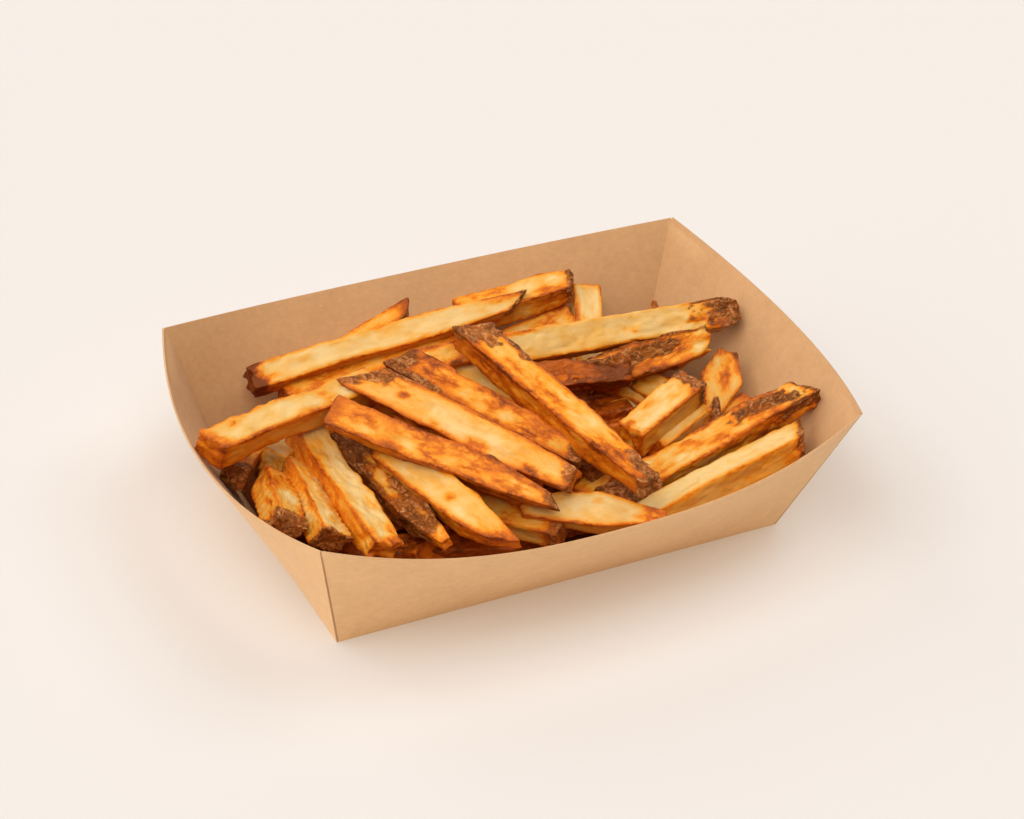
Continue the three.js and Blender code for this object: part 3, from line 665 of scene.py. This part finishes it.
class Wires:
    """Short calls that add nodes to a tree. An input is given as a value, or as the socket it comes from."""

    def __init__(self, tree):
        self.tree = tree

    def fill(self, node, inputs):
        """Gives the node its inputs: a row of them in order, or a dictionary by name or number."""
        for key, value in inputs.items() if isinstance(inputs, dict) else enumerate(inputs):
            if isinstance(value, bpy.types.NodeSocket):
                self.tree.links.new(value, node.inputs[key])
            else:
                node.inputs[key].default_value = value
        return node

    def node(self, kind, inputs=(), **settings):
        node = self.tree.nodes.new(kind)
        for key, value in settings.items():
            setattr(node, key, value)
        return self.fill(node, inputs)

    def math(self, operation, a, b=0.0, clamp=False):
        return self.node("ShaderNodeMath", (a, b), operation=operation, use_clamp=clamp).outputs[0]

    def add(self, a, b, clamp=False):
        return self.math("ADD", a, b, clamp)

    def minus(self, a, b):
        return self.math("SUBTRACT", a, b)

    def times(self, a, b):
        return self.math("MULTIPLY", a, b)

    def about(self, a, middle, strength):
        """How far a is from the middle, times the strength."""
        return self.times(self.minus(a, middle), strength)

    def ramp(self, x, low, high, start=0.0, stop=1.0):
        values = (x, low, high, start, stop)
        return self.node("ShaderNodeMapRange", values, interpolation_type="SMOOTHSTEP").outputs[0]

    def blend(self, factor, a, b):
        return self.node("ShaderNodeMix", {0: factor, 6: a, 7: b}, data_type="RGBA").outputs[2]

    def stretched(self, vector, scale):
        return self.node("ShaderNodeMapping", {"Vector": vector, "Scale": scale}).outputs[0]

    def noise(self, vector, scale, detail=3.0, rough=0.55, distortion=0.0):
        """Noise with so many waves to a metre, the same each way or one number for each axis."""
        if isinstance(scale, tuple):
            vector, scale = self.stretched(vector, scale), 1.0
        return self.node("ShaderNodeTexNoise", {
            "Vector": vector, "Scale": scale, "Detail": detail, "Roughness": rough,
            "Distortion": distortion}).outputs["Fac"]


def new_group(name, kind, inputs, outputs):
    """A new node group: the calls that add to it, the sockets it reads from, and its last node."""
    tree = bpy.data.node_groups.new(name, kind)
    for side, sockets in (("INPUT", inputs), ("OUTPUT", outputs)):
        for label, holds, *default in sockets:
            socket = tree.interface.new_socket(name=label, in_out=side, socket_type="NodeSocket" + holds)
            if default:
                socket.default_value = default[0]
    return Wires(tree), tree.nodes.new("NodeGroupInput").outputs, tree.nodes.new("NodeGroupOutput")


LOOK_SOCKETS = (("Colour", "Color"), ("Roughness", "Float"), ("Height", "Float"))


def rgba(colour, share=1.0):
    return (*(share * part for part in colour), 1.0)


def fried_group(looks):
    """Colour, roughness and height of fried potato, from how crisp it is and where its skin is."""
    w, entry, out = new_group("Fried potato", "ShaderNodeTree", (
        ("Crisp", "Float", 0.3), ("Peel", "Float", 0.0), ("Grain", "Vector")), LOOK_SOCKETS)
    crisp, peel, grain = (entry[name] for name in ("Crisp", "Peel", "Grain"))
    streaks = w.noise(grain, (300.0, 700.0, 700.0), 5.0, 0.62, 0.7)
    freckles = w.noise(grain, (1100.0, 1500.0, 1500.0), 4.0, 0.6)
    fibres = w.noise(grain, (350.0, 2200.0, 2200.0), 3.0, 0.5)
    # finer browning on top of what the mesh carries: more of it where the mesh is browner; the crinkles add
    # painted shade in their furrows and painted light on their flakes
    lively = w.ramp(crisp, 0.05, 0.6, 0.35, 1.25)
    shift = w.add(w.about(streaks, 0.5, 0.30), w.about(freckles, 0.5, 0.20))
    furrows = furrows_of(w, grain, crisp)
    # painted shade and light: the sunken furrows are made browner and the flakes between them paler
    shift = w.add(shift, w.about(furrows, 0.25, 0.20))
    browned = w.add(crisp, w.times(shift, lively))
    flesh = w.node("ShaderNodeValToRGB")
    stops = ((0.0, looks.cream), (0.18, looks.pale), (0.36, looks.gold), (0.52, looks.orange),
             (0.70, looks.crust), (0.87, looks.brown), (1.0, looks.burnt))
    while len(flesh.color_ramp.elements) < len(stops):
        flesh.color_ramp.elements.new(0.5)
    for element, (position, colour) in zip(flesh.color_ramp.elements, stops):
        element.position = position
        element.color = rgba(colour)
    w.fill(flesh, (w.add(browned, 0.0, clamp=True),))
    film, mottle, folds = skin_film(w, grain, looks)
    edge = w.add(peel, w.about(mottle, 0.5, 0.9))
    cover = w.ramp(edge, 0.30, 0.75, 0.0, 0.92)
    colour = w.blend(cover, flesh.outputs[0], film)
    gloss = w.add(0.25, w.times(freckles, 0.32))
    gloss = w.minus(gloss, w.times(cover, 0.08))
    height = w.add(w.times(streaks, 0.5), w.times(freckles, 0.35))
    height = w.add(height, w.times(fibres, 0.12))
    height = w.add(height, w.times(w.times(mottle, cover), 1.3))
    height = w.minus(height, w.times(w.times(folds, cover), 0.35))
    height = w.minus(height, w.times(furrows, 0.28))
    w.fill(out, (colour, gloss, height))
    return w.tree


def furrows_of(w, grain, crisp):
    """Crinkles: thin furrows sunk between raised flakes, in patches; the mask darkens the furrows as painted
    shade.
    """
    wander = w.node("ShaderNodeTexNoise", {"Vector": grain, "Scale": 700.0})
    bend = w.node("ShaderNodeVectorMath", {0: wander.outputs["Color"], "Scale": 0.0022}, operation="SCALE")
    bent = w.node("ShaderNodeVectorMath", (grain, bend.outputs[0]), operation="ADD")
    flakes = w.node("ShaderNodeTexVoronoi", feature="DISTANCE_TO_EDGE", inputs={
        "Vector": w.stretched(bent.outputs[0], (230.0, 480.0, 480.0)), "Scale": 1.0})
    furrows = w.ramp(flakes.outputs["Distance"], 0.0, 0.30, 1.0, 0.0)
    where = w.noise(grain, (110.0, 190.0, 190.0), 1.0, 0.5)
    furrows = w.times(furrows, w.ramp(where, 0.38, 0.62, 0.15, 1.0))
    return w.times(furrows, w.ramp(crisp, 0.05, 0.45, 0.25, 1.0))


def skin_film(w, grain, looks):
    """Skin: a brown film with redder clouds, dark in its hollows and folds and with fine lighter threads on
    its raised parts: painted shade and painted light on its relief.
    """
    mottle = w.noise(grain, (380.0, 620.0, 620.0), 5.0, 0.65, 1.2)
    clouds = w.noise(grain, (150.0, 240.0, 240.0), 2.0, 0.5)
    # painted shade and light: the film is darker where its relief sinks and lighter where it rises
    film = w.blend(w.ramp(mottle, 0.42, 0.54), rgba(looks.skin, 0.34), rgba(looks.skin, 1.2))
    film = w.blend(w.ramp(clouds, 0.40, 0.70, 0.0, 0.5), film, rgba(looks.crust))
    # painted light: lighter threads where the relief rises
    film = w.blend(w.ramp(mottle, 0.52, 0.63, 0.0, 0.9), film, (0.55, 0.24, 0.08, 1.0))
    folds = w.noise(grain, (420.0, 800.0, 800.0), 3.0, 0.55, 1.8)
    folds = w.ramp(w.math("ABSOLUTE", w.minus(folds, 0.5)), 0.0, 0.045, 1.0, 0.0)
    # painted shade: the folds, which the relief sinks, are darkened
    return w.blend(w.times(folds, 0.75), film, rgba(looks.skin, 0.22)), mottle, folds


def new_finish(name, group=None):
    """A new material, the calls that add to its nodes, and its node of the group."""
    material = bpy.data.materials.new(name)
    material.use_nodes = True
    w = Wires(material.node_tree)
    return material, w, group and w.node("ShaderNodeGroup", node_tree=group)


def dress(w, look, bump, bump_depth, shading):
    """Puts what the group gives, and the other values of its shading, into a material's shader."""
    relief = w.node("ShaderNodeBump", {
        "Strength": bump, "Distance": bump_depth, "Height": look.outputs["Height"]})
    w.fill(w.tree.nodes["Principled BSDF"], {
        "Base Color": look.outputs["Colour"], "Roughness": look.outputs["Roughness"],
        "Normal": relief.outputs[0], **shading})


def fried_finish(name, group, bump, painted_shade=0.0):
    """A material for fried potato; its last argument adds to how crisp it is, darkening it as painted shade.
    """
    material, w, look = new_finish(name, group)
    for place, (key, output) in enumerate((("crisp", "Fac"), ("peel", "Fac"), ("grain", "Vector"))):
        value = w.node("ShaderNodeAttribute", attribute_name=key).outputs[output]
        if key == "crisp" and painted_shade:
            value = w.add(value, painted_shade)
        w.fill(look, {place: value})
    dress(w, look, bump, 0.0009, {
        "Subsurface Weight": 0.10, "Subsurface Radius": (1.0, 0.45, 0.15), "Subsurface Scale": 0.0018,
        "IOR": 1.42, "Specular Tint": (1.0, 0.66, 0.36, 1.0)})
    return material


def board_group():
    """Colour, roughness and height of kraft paper board."""
    w, entry, out = new_group("Kraft board", "ShaderNodeTree", (
        ("Board", "Color", (0.6, 0.36, 0.18, 1.0)), ("Fibre", "Color", (0.4, 0.2, 0.1, 1.0)),
        ("Place", "Vector")), LOOK_SOCKETS)
    place = entry["Place"]
    clouds = w.noise(place, 70.0, 3.0)
    mottle = w.noise(place, 420.0, 4.0, 0.6)
    grain = w.noise(place, (500.0, 1500.0, 1500.0), 4.0, 0.6)
    flecks = w.noise(place, (900.0, 2600.0, 1700.0), 2.0, 0.5, 1.2)
    mix = w.add(w.about(clouds, 0.5, 0.5), w.about(mottle, 0.5, 0.75))
    mix = w.add(mix, w.about(grain, 0.5, 0.55))
    tone = w.blend(w.add(mix, 0.25, clamp=True), entry["Board"], entry["Fibre"])
    colour = w.blend(w.ramp(flecks, 0.66, 0.76, 0.0, 0.35), tone, (0.80, 0.58, 0.36, 1.0))
    gloss = w.add(0.58, w.times(grain, 0.25))
    w.fill(out, (colour, gloss, w.add(w.times(mottle, 0.6), w.times(grain, 0.4))))
    return w.tree


FIBRE_SHARES = (0.74, 0.69, 0.62)  # the darker fibres' colour, as shares of the board's


def board_finish(name, group, board, bump):
    material, w, look = new_finish(name, group)
    where = w.node("ShaderNodeTexCoord").outputs["Object"]
    fibre = rgba(part * share for part, share in zip(board, FIBRE_SHARES))
    w.fill(look, {"Board": rgba(board), "Fibre": fibre, "Place": where})
    dress(w, look, bump, 0.0002, {"Specular IOR Level": 0.35, "Sheen Weight": 0.08})
    return material


# ---------------------------------------------------------------- the tray

WALL_STEPS, END_STEPS, LEVEL_STEPS, TAB_STEPS = 96, 64, 22, 12
FLOOR_STEPS = (30, 18)
FLOOR_GAP = 0.0006  # metres between the floor's edge and the fold
CLEAR = 0.0001  # metres between two faces that lie against each other
THIN = 0.00002  # metres that are left between a tab's free edge and the wall
WELD = 0.00002  # metres within which points of the sheet are joined
TAB_SHARE = 0.32  # how far a tab reaches along the short wall, as a share of half the wall
LONG_SWELL, SHORT_SWELL = 2.5, 2.0  # how full the curve of a rim is


def swell(along, fullness):
    """1 in the middle of a rim and 0 at its corners."""
    return np.maximum(0.0, 1.0 - np.abs(along) ** fullness)


def long_wall(s, side, along, level):
    """A point on a long wall: along from corner (-1) to corner (1), level from floor to rim."""
    rise = swell(along, LONG_SWELL)
    foot = np.stack([along * (s.floor_length / 2), side * (s.floor_width / 2) + 0 * along, 0 * along], -1)
    rim = np.stack([along * (s.corner_length / 2), side * (s.corner_width / 2 + s.long_bulge * rise),
                    s.corner_height - s.long_dip * rise], -1)
    return foot + (rim - foot) * level[..., None]


def short_wall(s, side, along, level):
    rise = swell(along, SHORT_SWELL)
    foot = np.stack([side * (s.floor_length / 2) + 0 * along, along * (s.floor_width / 2), 0 * along], -1)
    rim = np.stack([side * (s.corner_length / 2 + s.short_bulge * rise), along * (s.corner_width / 2),
                    s.corner_height - s.short_dip * rise], -1)
    return foot + (rim - foot) * level[..., None]


def kept_inside(s, points):
    """The points (mm) with those that would stand through a wall of the tray pressed back against it."""
    x, y, z = points.T
    high = np.clip(z * MM / s.corner_height, 0.0, 1.0)
    room = (s.board + CLEAR) / MM

    def pressed(across, along, floor, corner, other_floor, other_corner, fullness, dip, bulge):
        half = other_floor / 2 + (other_corner - other_floor) / 2 * high
        rise = swell(np.clip(along * MM / half, -1.0, 1.0), fullness)
        rim = s.corner_height - dip * rise
        lean = (corner - floor) / 2 + bulge * rise
        most = (floor / 2 + lean * z * MM / rim) / MM - room
        return np.where((z * MM < rim) & (np.abs(across) > most), np.sign(across) * most, across)

    length, width = (s.floor_length, s.corner_length), (s.floor_width, s.corner_width)
    y = pressed(y, x, *width, *length, LONG_SWELL, s.long_dip, s.long_bulge)
    x = pressed(x, y, *length, *width, SHORT_SWELL, s.short_dip, s.short_bulge)
    return np.stack([x, y, np.maximum(z, room)], -1)


def tab(s, end, side, reach, levels):
    """Points of a tab inside a short wall, and how thick it is: it runs out towards its free edges."""
    lift = s.board + CLEAR
    reach, level = np.meshgrid(reach, levels)
    # its lower edge rises, and its top stands just under the rim
    level = 0.05 + 0.93 * level - 0.10 * reach * level
    level = np.maximum(level, 0.05 + 0.35 * reach)
    free = smoothstep(0.0, 0.14, TAB_SHARE - reach) * smoothstep(0.0, 0.10, 0.985 - level)
    inset = (THIN + (lift - THIN) * free)[..., None]
    points = short_wall(s, end, side * (1.0 - lift / (s.floor_width / 2) - reach), level)
    return points - inset * np.array([end, side, 0.0]), 0.7 + 0.3 * free


def tray_sheet(s):
    """The board's outer face in grids: points, shares of the thickness, and if the faces are flipped."""
    levels = np.concatenate([[0.0, 0.012, 0.03], np.linspace(0.07, 1.0, LEVEL_STEPS)])
    sides = [np.concatenate([[-1.0], np.linspace(-inner, inner, steps), [1.0]]) * (size / 2 - FLOOR_GAP)
             for inner, steps, size in zip((0.985, 0.98), FLOOR_STEPS, (s.floor_length, s.floor_width))]
    x, y = np.meshgrid(*sides)
    yield np.stack([x, y, 0 * x], -1), np.ones_like(x), True
    inner = 1.0 - (s.board + CLEAR) / (s.floor_length / 2)
    reach = np.concatenate([[0.004, 0.012], np.linspace(0.03, TAB_SHARE, TAB_STEPS)])
    for side in (1, -1):
        along, level = np.meshgrid(np.linspace(-inner, inner, WALL_STEPS), levels)
        wall = long_wall(s, side, along, level), np.ones_like(along)
        strip = tab(s, -1, side, reach[::-1], levels), wall, tab(s, 1, side, reach, levels)
        grid, shares = (np.concatenate(parts, axis=1) for parts in zip(*strip))
        yield grid, shares, side > 0
    for side in (1, -1):
        along, level = np.meshgrid(np.linspace(-1.0, 1.0, END_STEPS), levels)
        yield short_wall(s, side, along, level), np.ones_like(along), side < 0


class FoldTray(bpy.types.Operator):
    """Folds the paper tray: floor, four walls and the tabs glued inside the short walls"""

    bl_idname = "fries.fold_tray"
    bl_label = "Paper tray"

    def execute(self, context):
        s = context.scene.tray_sizes
        verts, faces, shares = [], [], []
        count = 0
        for grid, share, flip in tray_sheet(s):
            verts.append(grid.reshape(-1, 3))
            faces.append(grid_faces(*grid.shape[:2], count, flip))
            shares.append(share.ravel())
            count += share.size
        piece = mesh_object("tray", np.concatenate(verts), np.concatenate(faces))
        thickness = piece.vertex_groups.new(name="thickness")
        for number, share in enumerate(np.concatenate(shares)):
            thickness.add([number], float(share), "REPLACE")
        work = bmesh.new()
        work.from_mesh(piece.data)
        bmesh.ops.remove_doubles(work, verts=work.verts, dist=WELD)
        work.to_mesh(piece.data)
        work.free()
        thick = piece.modifiers.new("Board", "SOLIDIFY")
        thick.thickness = s.board
        thick.offset = -1.0
        thick.use_even_offset = True
        thick.vertex_group = "thickness"
        thick.material_offset = 1
        thick.material_offset_rim = 2
        group = board_group()
        # The inner face's colour carries painted shade of the tray's inside; the cut edge takes that colour,
        # a little darker.
        outside, inside = tuple(s.outside_colour), tuple(s.inside_colour_and_shade)
        cut = tuple(0.92 * part for part in inside)
        for name, board, bump in (("outer board face", outside, 0.12), ("inner board face", inside, 0.12),
                                  ("cut board edge", cut, 0.3)):
            piece.data.materials.append(board_finish(name, group, board, bump))
        baked(piece)
        shade_smooth(piece.data, 32)
        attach(piece, "root")
        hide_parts("carton")
        return {"FINISHED"}


# ---------------------------------------------------------------- the heap

BUMPS = {"pale": 0.3, "golden": 0.4, "browned": 0.55, "skinned": 0.6}

# Layers of scattered fries. Metres and radians: length, width, columns, rows, height, turn, tilt, seed
LAYERS = (
    (0.072, 0.054, 3, 5, 0.0078, 0.16, 0.02, 5),
    (0.076, 0.056, 3, 5, 0.0130, 0.35, 0.05, 9),
    (0.044, 0.046, 2, 4, 0.0150, 0.6, 0.08, 14),
)
LAYER_SHIFT = 0.0022  # metres
# the lower layers are toned dark brown, darker the deeper they lie: painted shade under the heap
BURIED_TONES_IN_SHADE = (0.95, 0.9, 0.85)
PATTERN_SPACING = 0.0011  # metres
PATTERN_SEED = 90

# The core is toned dark brown: painted shade in the gaps deep in the heap.
# The core, in metres: how far it stays from the floor's edges, its underside, the height of its edge,
# how much higher its middle is, and how deep its hills are
CORE_MARGIN, CORE_FOOT, CORE_EDGE, CORE_RISE, CORE_HILLS = 0.0015, 0.0009, 0.0012, 0.0085, 0.0012
CORE_STEPS = (90, 56)


class LayFries(bpy.types.Operator):
    """Makes the fries that show, one object for each kind"""

    bl_idname = "fries.lay_fries"
    bl_label = "Fries that show"

    def execute(self, context):
        looks = context.scene.fry_looks
        group = fried_group(looks)
        for kind, bump in BUMPS.items():
            rows = [dict(row, seed=number + 1) for number, row in enumerate(SHOWN) if row["kind"] == kind]
            piece = joined_fries(f"fries_{kind}", rows, looks, tray=context.scene.tray_sizes)
            piece.data.materials.append(fried_finish(f"{kind} fries", group, bump))
            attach(piece, "root")
            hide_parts("fries")
        return {"FINISHED"}


def scatter_tree(name):
    """Geometry Nodes: rows of pieces laid over a box, each turned and shifted by a seeded draw."""
    w, entry, out = new_group(name, "GeometryNodeTree", (
        ("Geometry", "Geometry"), ("Piece", "Object"), ("Length", "Float"), ("Width", "Float"),
        ("Columns", "Int"), ("Rows", "Int"), ("Height", "Float"), ("Shift", "Float"), ("Turn", "Float"),
        ("Tilt", "Float"), ("Seed", "Int"), ("Finish", "Material")), (("Geometry", "Geometry"),))

    def draw(low, high, shift):
        """A random vector, each part from low to high; shift sets it apart from the other draws."""
        seed = w.add(entry["Seed"], shift)
        ends = {0: low, 1: high, "Seed": seed}
        return w.node("FunctionNodeRandomValue", data_type="FLOAT_VECTOR", inputs=ends).outputs[0]

    grid = w.node("GeometryNodeMeshGrid", {
        "Size X": entry["Length"], "Size Y": entry["Width"],
        "Vertices X": entry["Columns"], "Vertices Y": entry["Rows"]})
    lift = w.node("ShaderNodeCombineXYZ", {"Z": entry["Height"]})
    shift = w.node("ShaderNodeVectorMath", operation="SCALE", inputs={
        0: draw((-1, -1, -0.6), (1, 1, 0.6), 0), "Scale": entry["Shift"]})
    offset = w.node("ShaderNodeVectorMath", (lift.outputs[0], shift.outputs[0]), operation="ADD")
    laid = w.node("GeometryNodeSetPosition", {
        "Geometry": grid.outputs["Mesh"], "Offset": offset.outputs[0]})
    ways = w.node("ShaderNodeSeparateXYZ", (draw((-3.0, -1.0, -1.0), (3.0, 1.0, 1.0), 1),)).outputs
    turn = w.node("ShaderNodeCombineXYZ", (
        ways["X"], w.times(ways["Y"], entry["Tilt"]), w.times(ways["Z"], entry["Turn"])))
    piece = w.node("GeometryNodeObjectInfo", {"Object": entry["Piece"]})
    placed = w.node("GeometryNodeInstanceOnPoints", {
        "Points": laid.outputs[0], "Instance": piece.outputs["Geometry"], "Rotation": turn.outputs[0],
        "Scale": draw((0.85, 0.9, 0.9), (1.08, 1.08, 1.08), 2)})
    real = w.node("GeometryNodeRealizeInstances", (placed.outputs[0],))
    painted = w.node("GeometryNodeSetMaterial", {"Geometry": real.outputs[0], "Material": entry["Finish"]})
    w.fill(out, (painted.outputs[0],))
    return w.tree


def scatter(name, tree, values):
    """A plain mesh object from the scatter tree and its named inputs."""
    mesh = bpy.data.meshes.new(name)
    piece = bpy.data.objects.new(name, mesh)
    bpy.context.scene.collection.objects.link(piece)
    modifier = piece.modifiers.new("Scatter", "NODES")
    modifier.node_group = tree
    sockets = {item.name: item.identifier for item in tree.interface.items_tree
               if item.item_type == "SOCKET" and item.in_out == "INPUT"}
    for label, value in values.items():
        modifier[sockets[label]] = value
    return baked(piece)


class BuryFries(bpy.types.Operator):
    """Scatters the fries of the lower layers, painted dark brown as the shade under the heap"""

    bl_idname = "fries.bury_fries"
    bl_label = "Fries underneath"

    def execute(self, context):
        looks = context.scene.fry_looks
        finish = fried_finish("buried fries", bpy.data.node_groups["Fried potato"], 0.4)
        tree = scatter_tree("Scattered fries")
        patterns = []
        # each layer's fries are toned dark as painted shade
        for number, tone in enumerate(BURIED_TONES_IN_SHADE):
            row = fry("pattern", (-25, 0, 0), (25, 0, 0), 8.5, 8, 0, tone=tone, right=0.2,
                      tail_end=(0.6, 3, 0.4), tip_end=(0.6, 5, 0.4), bow=(0, 1.2), seed=PATTERN_SEED + number)
            patterns.append(joined_fries(f"fry_pattern_{number}", [row], looks, PATTERN_SPACING))
        for number, (pattern, layer) in enumerate(zip(patterns, LAYERS)):
            length, width, columns, rows, height, turn, tilt, seed = layer
            piece = scatter(f"fries_under_{number + 1}", tree, {
                "Piece": pattern, "Length": length, "Width": width, "Columns": columns, "Rows": rows,
                "Height": height, "Shift": LAYER_SHIFT, "Turn": turn, "Tilt": tilt, "Seed": seed,
                "Finish": finish})
            if not len(piece.data.vertices):
                raise RuntimeError("the scatter made no fries")
            shade_smooth(piece.data)
            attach(piece, "root")
            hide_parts("fries")
        for pattern in patterns:
            mesh = pattern.data
            bpy.data.objects.remove(pattern)
            bpy.data.meshes.remove(mesh)
        return {"FINISHED"}


class FillHeap(bpy.types.Operator):
    """Makes the core at the bottom of the heap, a dark sheet of painted shade under the fries"""

    bl_idname = "fries.fill_heap"
    bl_label = "Core of the heap"

    def execute(self, context):
        s = context.scene.tray_sizes
        columns, rows = CORE_STEPS
        u, v = np.meshgrid(np.linspace(-1, 1, columns), np.linspace(-1, 1, rows))
        x, y = u * (s.floor_length / 2 - CORE_MARGIN), v * (s.floor_width / 2 - CORE_MARGIN)
        inner = np.minimum(1.0 - np.abs(u), 1.0 - np.abs(v))
        z = CORE_EDGE + CORE_RISE * smoothstep(0.0, 0.25, inner)
        points = np.stack([x, y, z], -1) / MM
        z = z + CORE_HILLS * smoothstep(0.0, 0.2, inner) * layered_noise(points / 7.0, 3)
        upper = np.stack([x, y, z], -1)
        lower = np.stack([x, y, np.full_like(z, CORE_FOOT)], -1)
        verts = np.concatenate([upper.reshape(-1, 3), lower.reshape(-1, 3)])
        below = columns * rows
        faces = [tuple(f) for f in grid_faces(rows, columns, 0, False)]
        faces += [tuple(f) for f in grid_faces(rows, columns, below, True)]
        index = np.arange(below).reshape(rows, columns)
        ring = np.concatenate([index[0, :], index[1:, -1], index[-1, -2::-1], index[-2:0:-1, 0]])
        faces += [(b, a, a + below, b + below) for a, b in zip(ring, np.roll(ring, -1))]
        # painted shade: the core is toned near brown all over, and its finish adds more
        crisp = 0.95 + 0.2 * layered_noise(verts / MM / 6.0, 5)
        piece = mesh_object("heap_core", verts, faces, {
            "crisp": crisp, "peel": np.zeros(len(verts)), "grain": verts})
        shade_smooth(piece.data)
        piece.data.materials.append(fried_finish("heap core", bpy.data.node_groups["Fried potato"], 0.5, 0.1))
        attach(piece, "root")
        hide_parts("fries")
        return {"FINISHED"}


# ---------------------------------------------------------------- the stage


class SetStage(bpy.types.Operator):
    """Sets the floor, the lights and the camera"""

    bl_idname = "fries.set_stage"
    bl_label = "Stage"

    def execute(self, context):
        scene, look = context.scene, context.scene.stage_looks
        floor = mesh_object("floor", [(-3, -3, 0), (3, -3, 0), (3, 3, 0), (-3, 3, 0)], [(0, 1, 2, 3)])
        matt, w, _ = new_finish("plain floor")
        w.fill(matt.node_tree.nodes["Principled BSDF"], {
            "Base Color": rgba(look.floor_colour), "Emission Color": rgba(look.floor_glow),
            "Emission Strength": 1.0, "Roughness": 0.9, "Specular IOR Level": 0.1})
        floor.data.materials.append(matt)

        scene.world = bpy.data.worlds.new("even light")
        scene.world.use_nodes = True
        w = Wires(scene.world.node_tree)
        where = w.node("ShaderNodeTexCoord")
        parts = w.node("ShaderNodeSeparateXYZ", (where.outputs["Generated"],))
        low = w.minus(1.0, w.math("ABSOLUTE", parts.outputs["Z"]))
        w.fill(w.tree.nodes["Background"], {
            "Color": (1.0, 1.0, 1.0, 1.0), "Strength": w.times(w.math("POWER", low, 4.0), look.sky)})
        for name, around, height, strength in LIGHTS:
            around, height = math.radians(around), math.radians(height)
            light = bpy.data.lights.new(name, "SUN")
            light.angle = math.radians(LIGHT_SPREAD)
            light.energy = look.light * strength
            lamp = bpy.data.objects.new(name, light)
            scene.collection.objects.link(lamp)
            source = Vector((math.cos(around) * math.cos(height), math.sin(around) * math.cos(height),
                             math.sin(height)))
            lamp.rotation_mode = "QUATERNION"
            lamp.rotation_quaternion = (-source).to_track_quat("-Z", "Y")

        camera = bpy.data.cameras.new("camera")
        camera.lens, camera.sensor_width = CAMERA_LENS, CAMERA_SENSOR
        eye = bpy.data.objects.new("camera", camera)
        scene.collection.objects.link(eye)
        right, up = Vector(CAMERA_RIGHT), Vector(CAMERA_UP)
        turn = Matrix((right, up, right.cross(up))).transposed()
        eye.matrix_world = Matrix.Translation(Vector(CAMERA_PLACE)) @ turn.to_4x4()
        scene.camera = eye
        scene.view_settings.view_transform = "Standard"
        scene.view_settings.look = "None"
        return {"FINISHED"}


class FriesPanel(bpy.types.Panel):
    """Lists the pieces of the tray of fries"""

    bl_idname = "VIEW3D_PT_fries"
    bl_label = "Fries in a paper tray"
    bl_space_type = "VIEW_3D"
    bl_region_type = "UI"
    bl_category = "Fries"

    def draw(self, context):
        scene = context.scene
        for owner, operators in (
            (scene.tray_sizes, ("fries.fold_tray",)),
            (scene.fry_looks, ("fries.lay_fries", "fries.bury_fries", "fries.fill_heap")),
            (scene.stage_looks, ("fries.set_stage",)),
        ):
            box = self.layout.box()
            for name in owner.__annotations__:
                box.prop(owner, name)
            for operator in operators:
                box.operator(operator)


CLASSES = (TraySizes, FryLooks, StageLooks, FoldTray, LayFries, BuryFries, FillHeap, SetStage, FriesPanel)
GROUPS = {"tray_sizes": TraySizes, "fry_looks": FryLooks, "stage_looks": StageLooks}


def register():
    for item in CLASSES:
        bpy.utils.register_class(item)
    for name, group in GROUPS.items():
        setattr(bpy.types.Scene, name, bpy.props.PointerProperty(type=group))


def unregister():
    for name in GROUPS:
        delattr(bpy.types.Scene, name)
    for item in reversed(CLASSES):
        bpy.utils.unregister_class(item)


def main():
    register()
    bpy.ops.fries.fold_tray()
    bpy.ops.fries.lay_fries()
    bpy.ops.fries.bury_fries()
    bpy.ops.fries.fill_heap()
    bpy.ops.fries.set_stage()


if __name__ == "__main__":
    main()
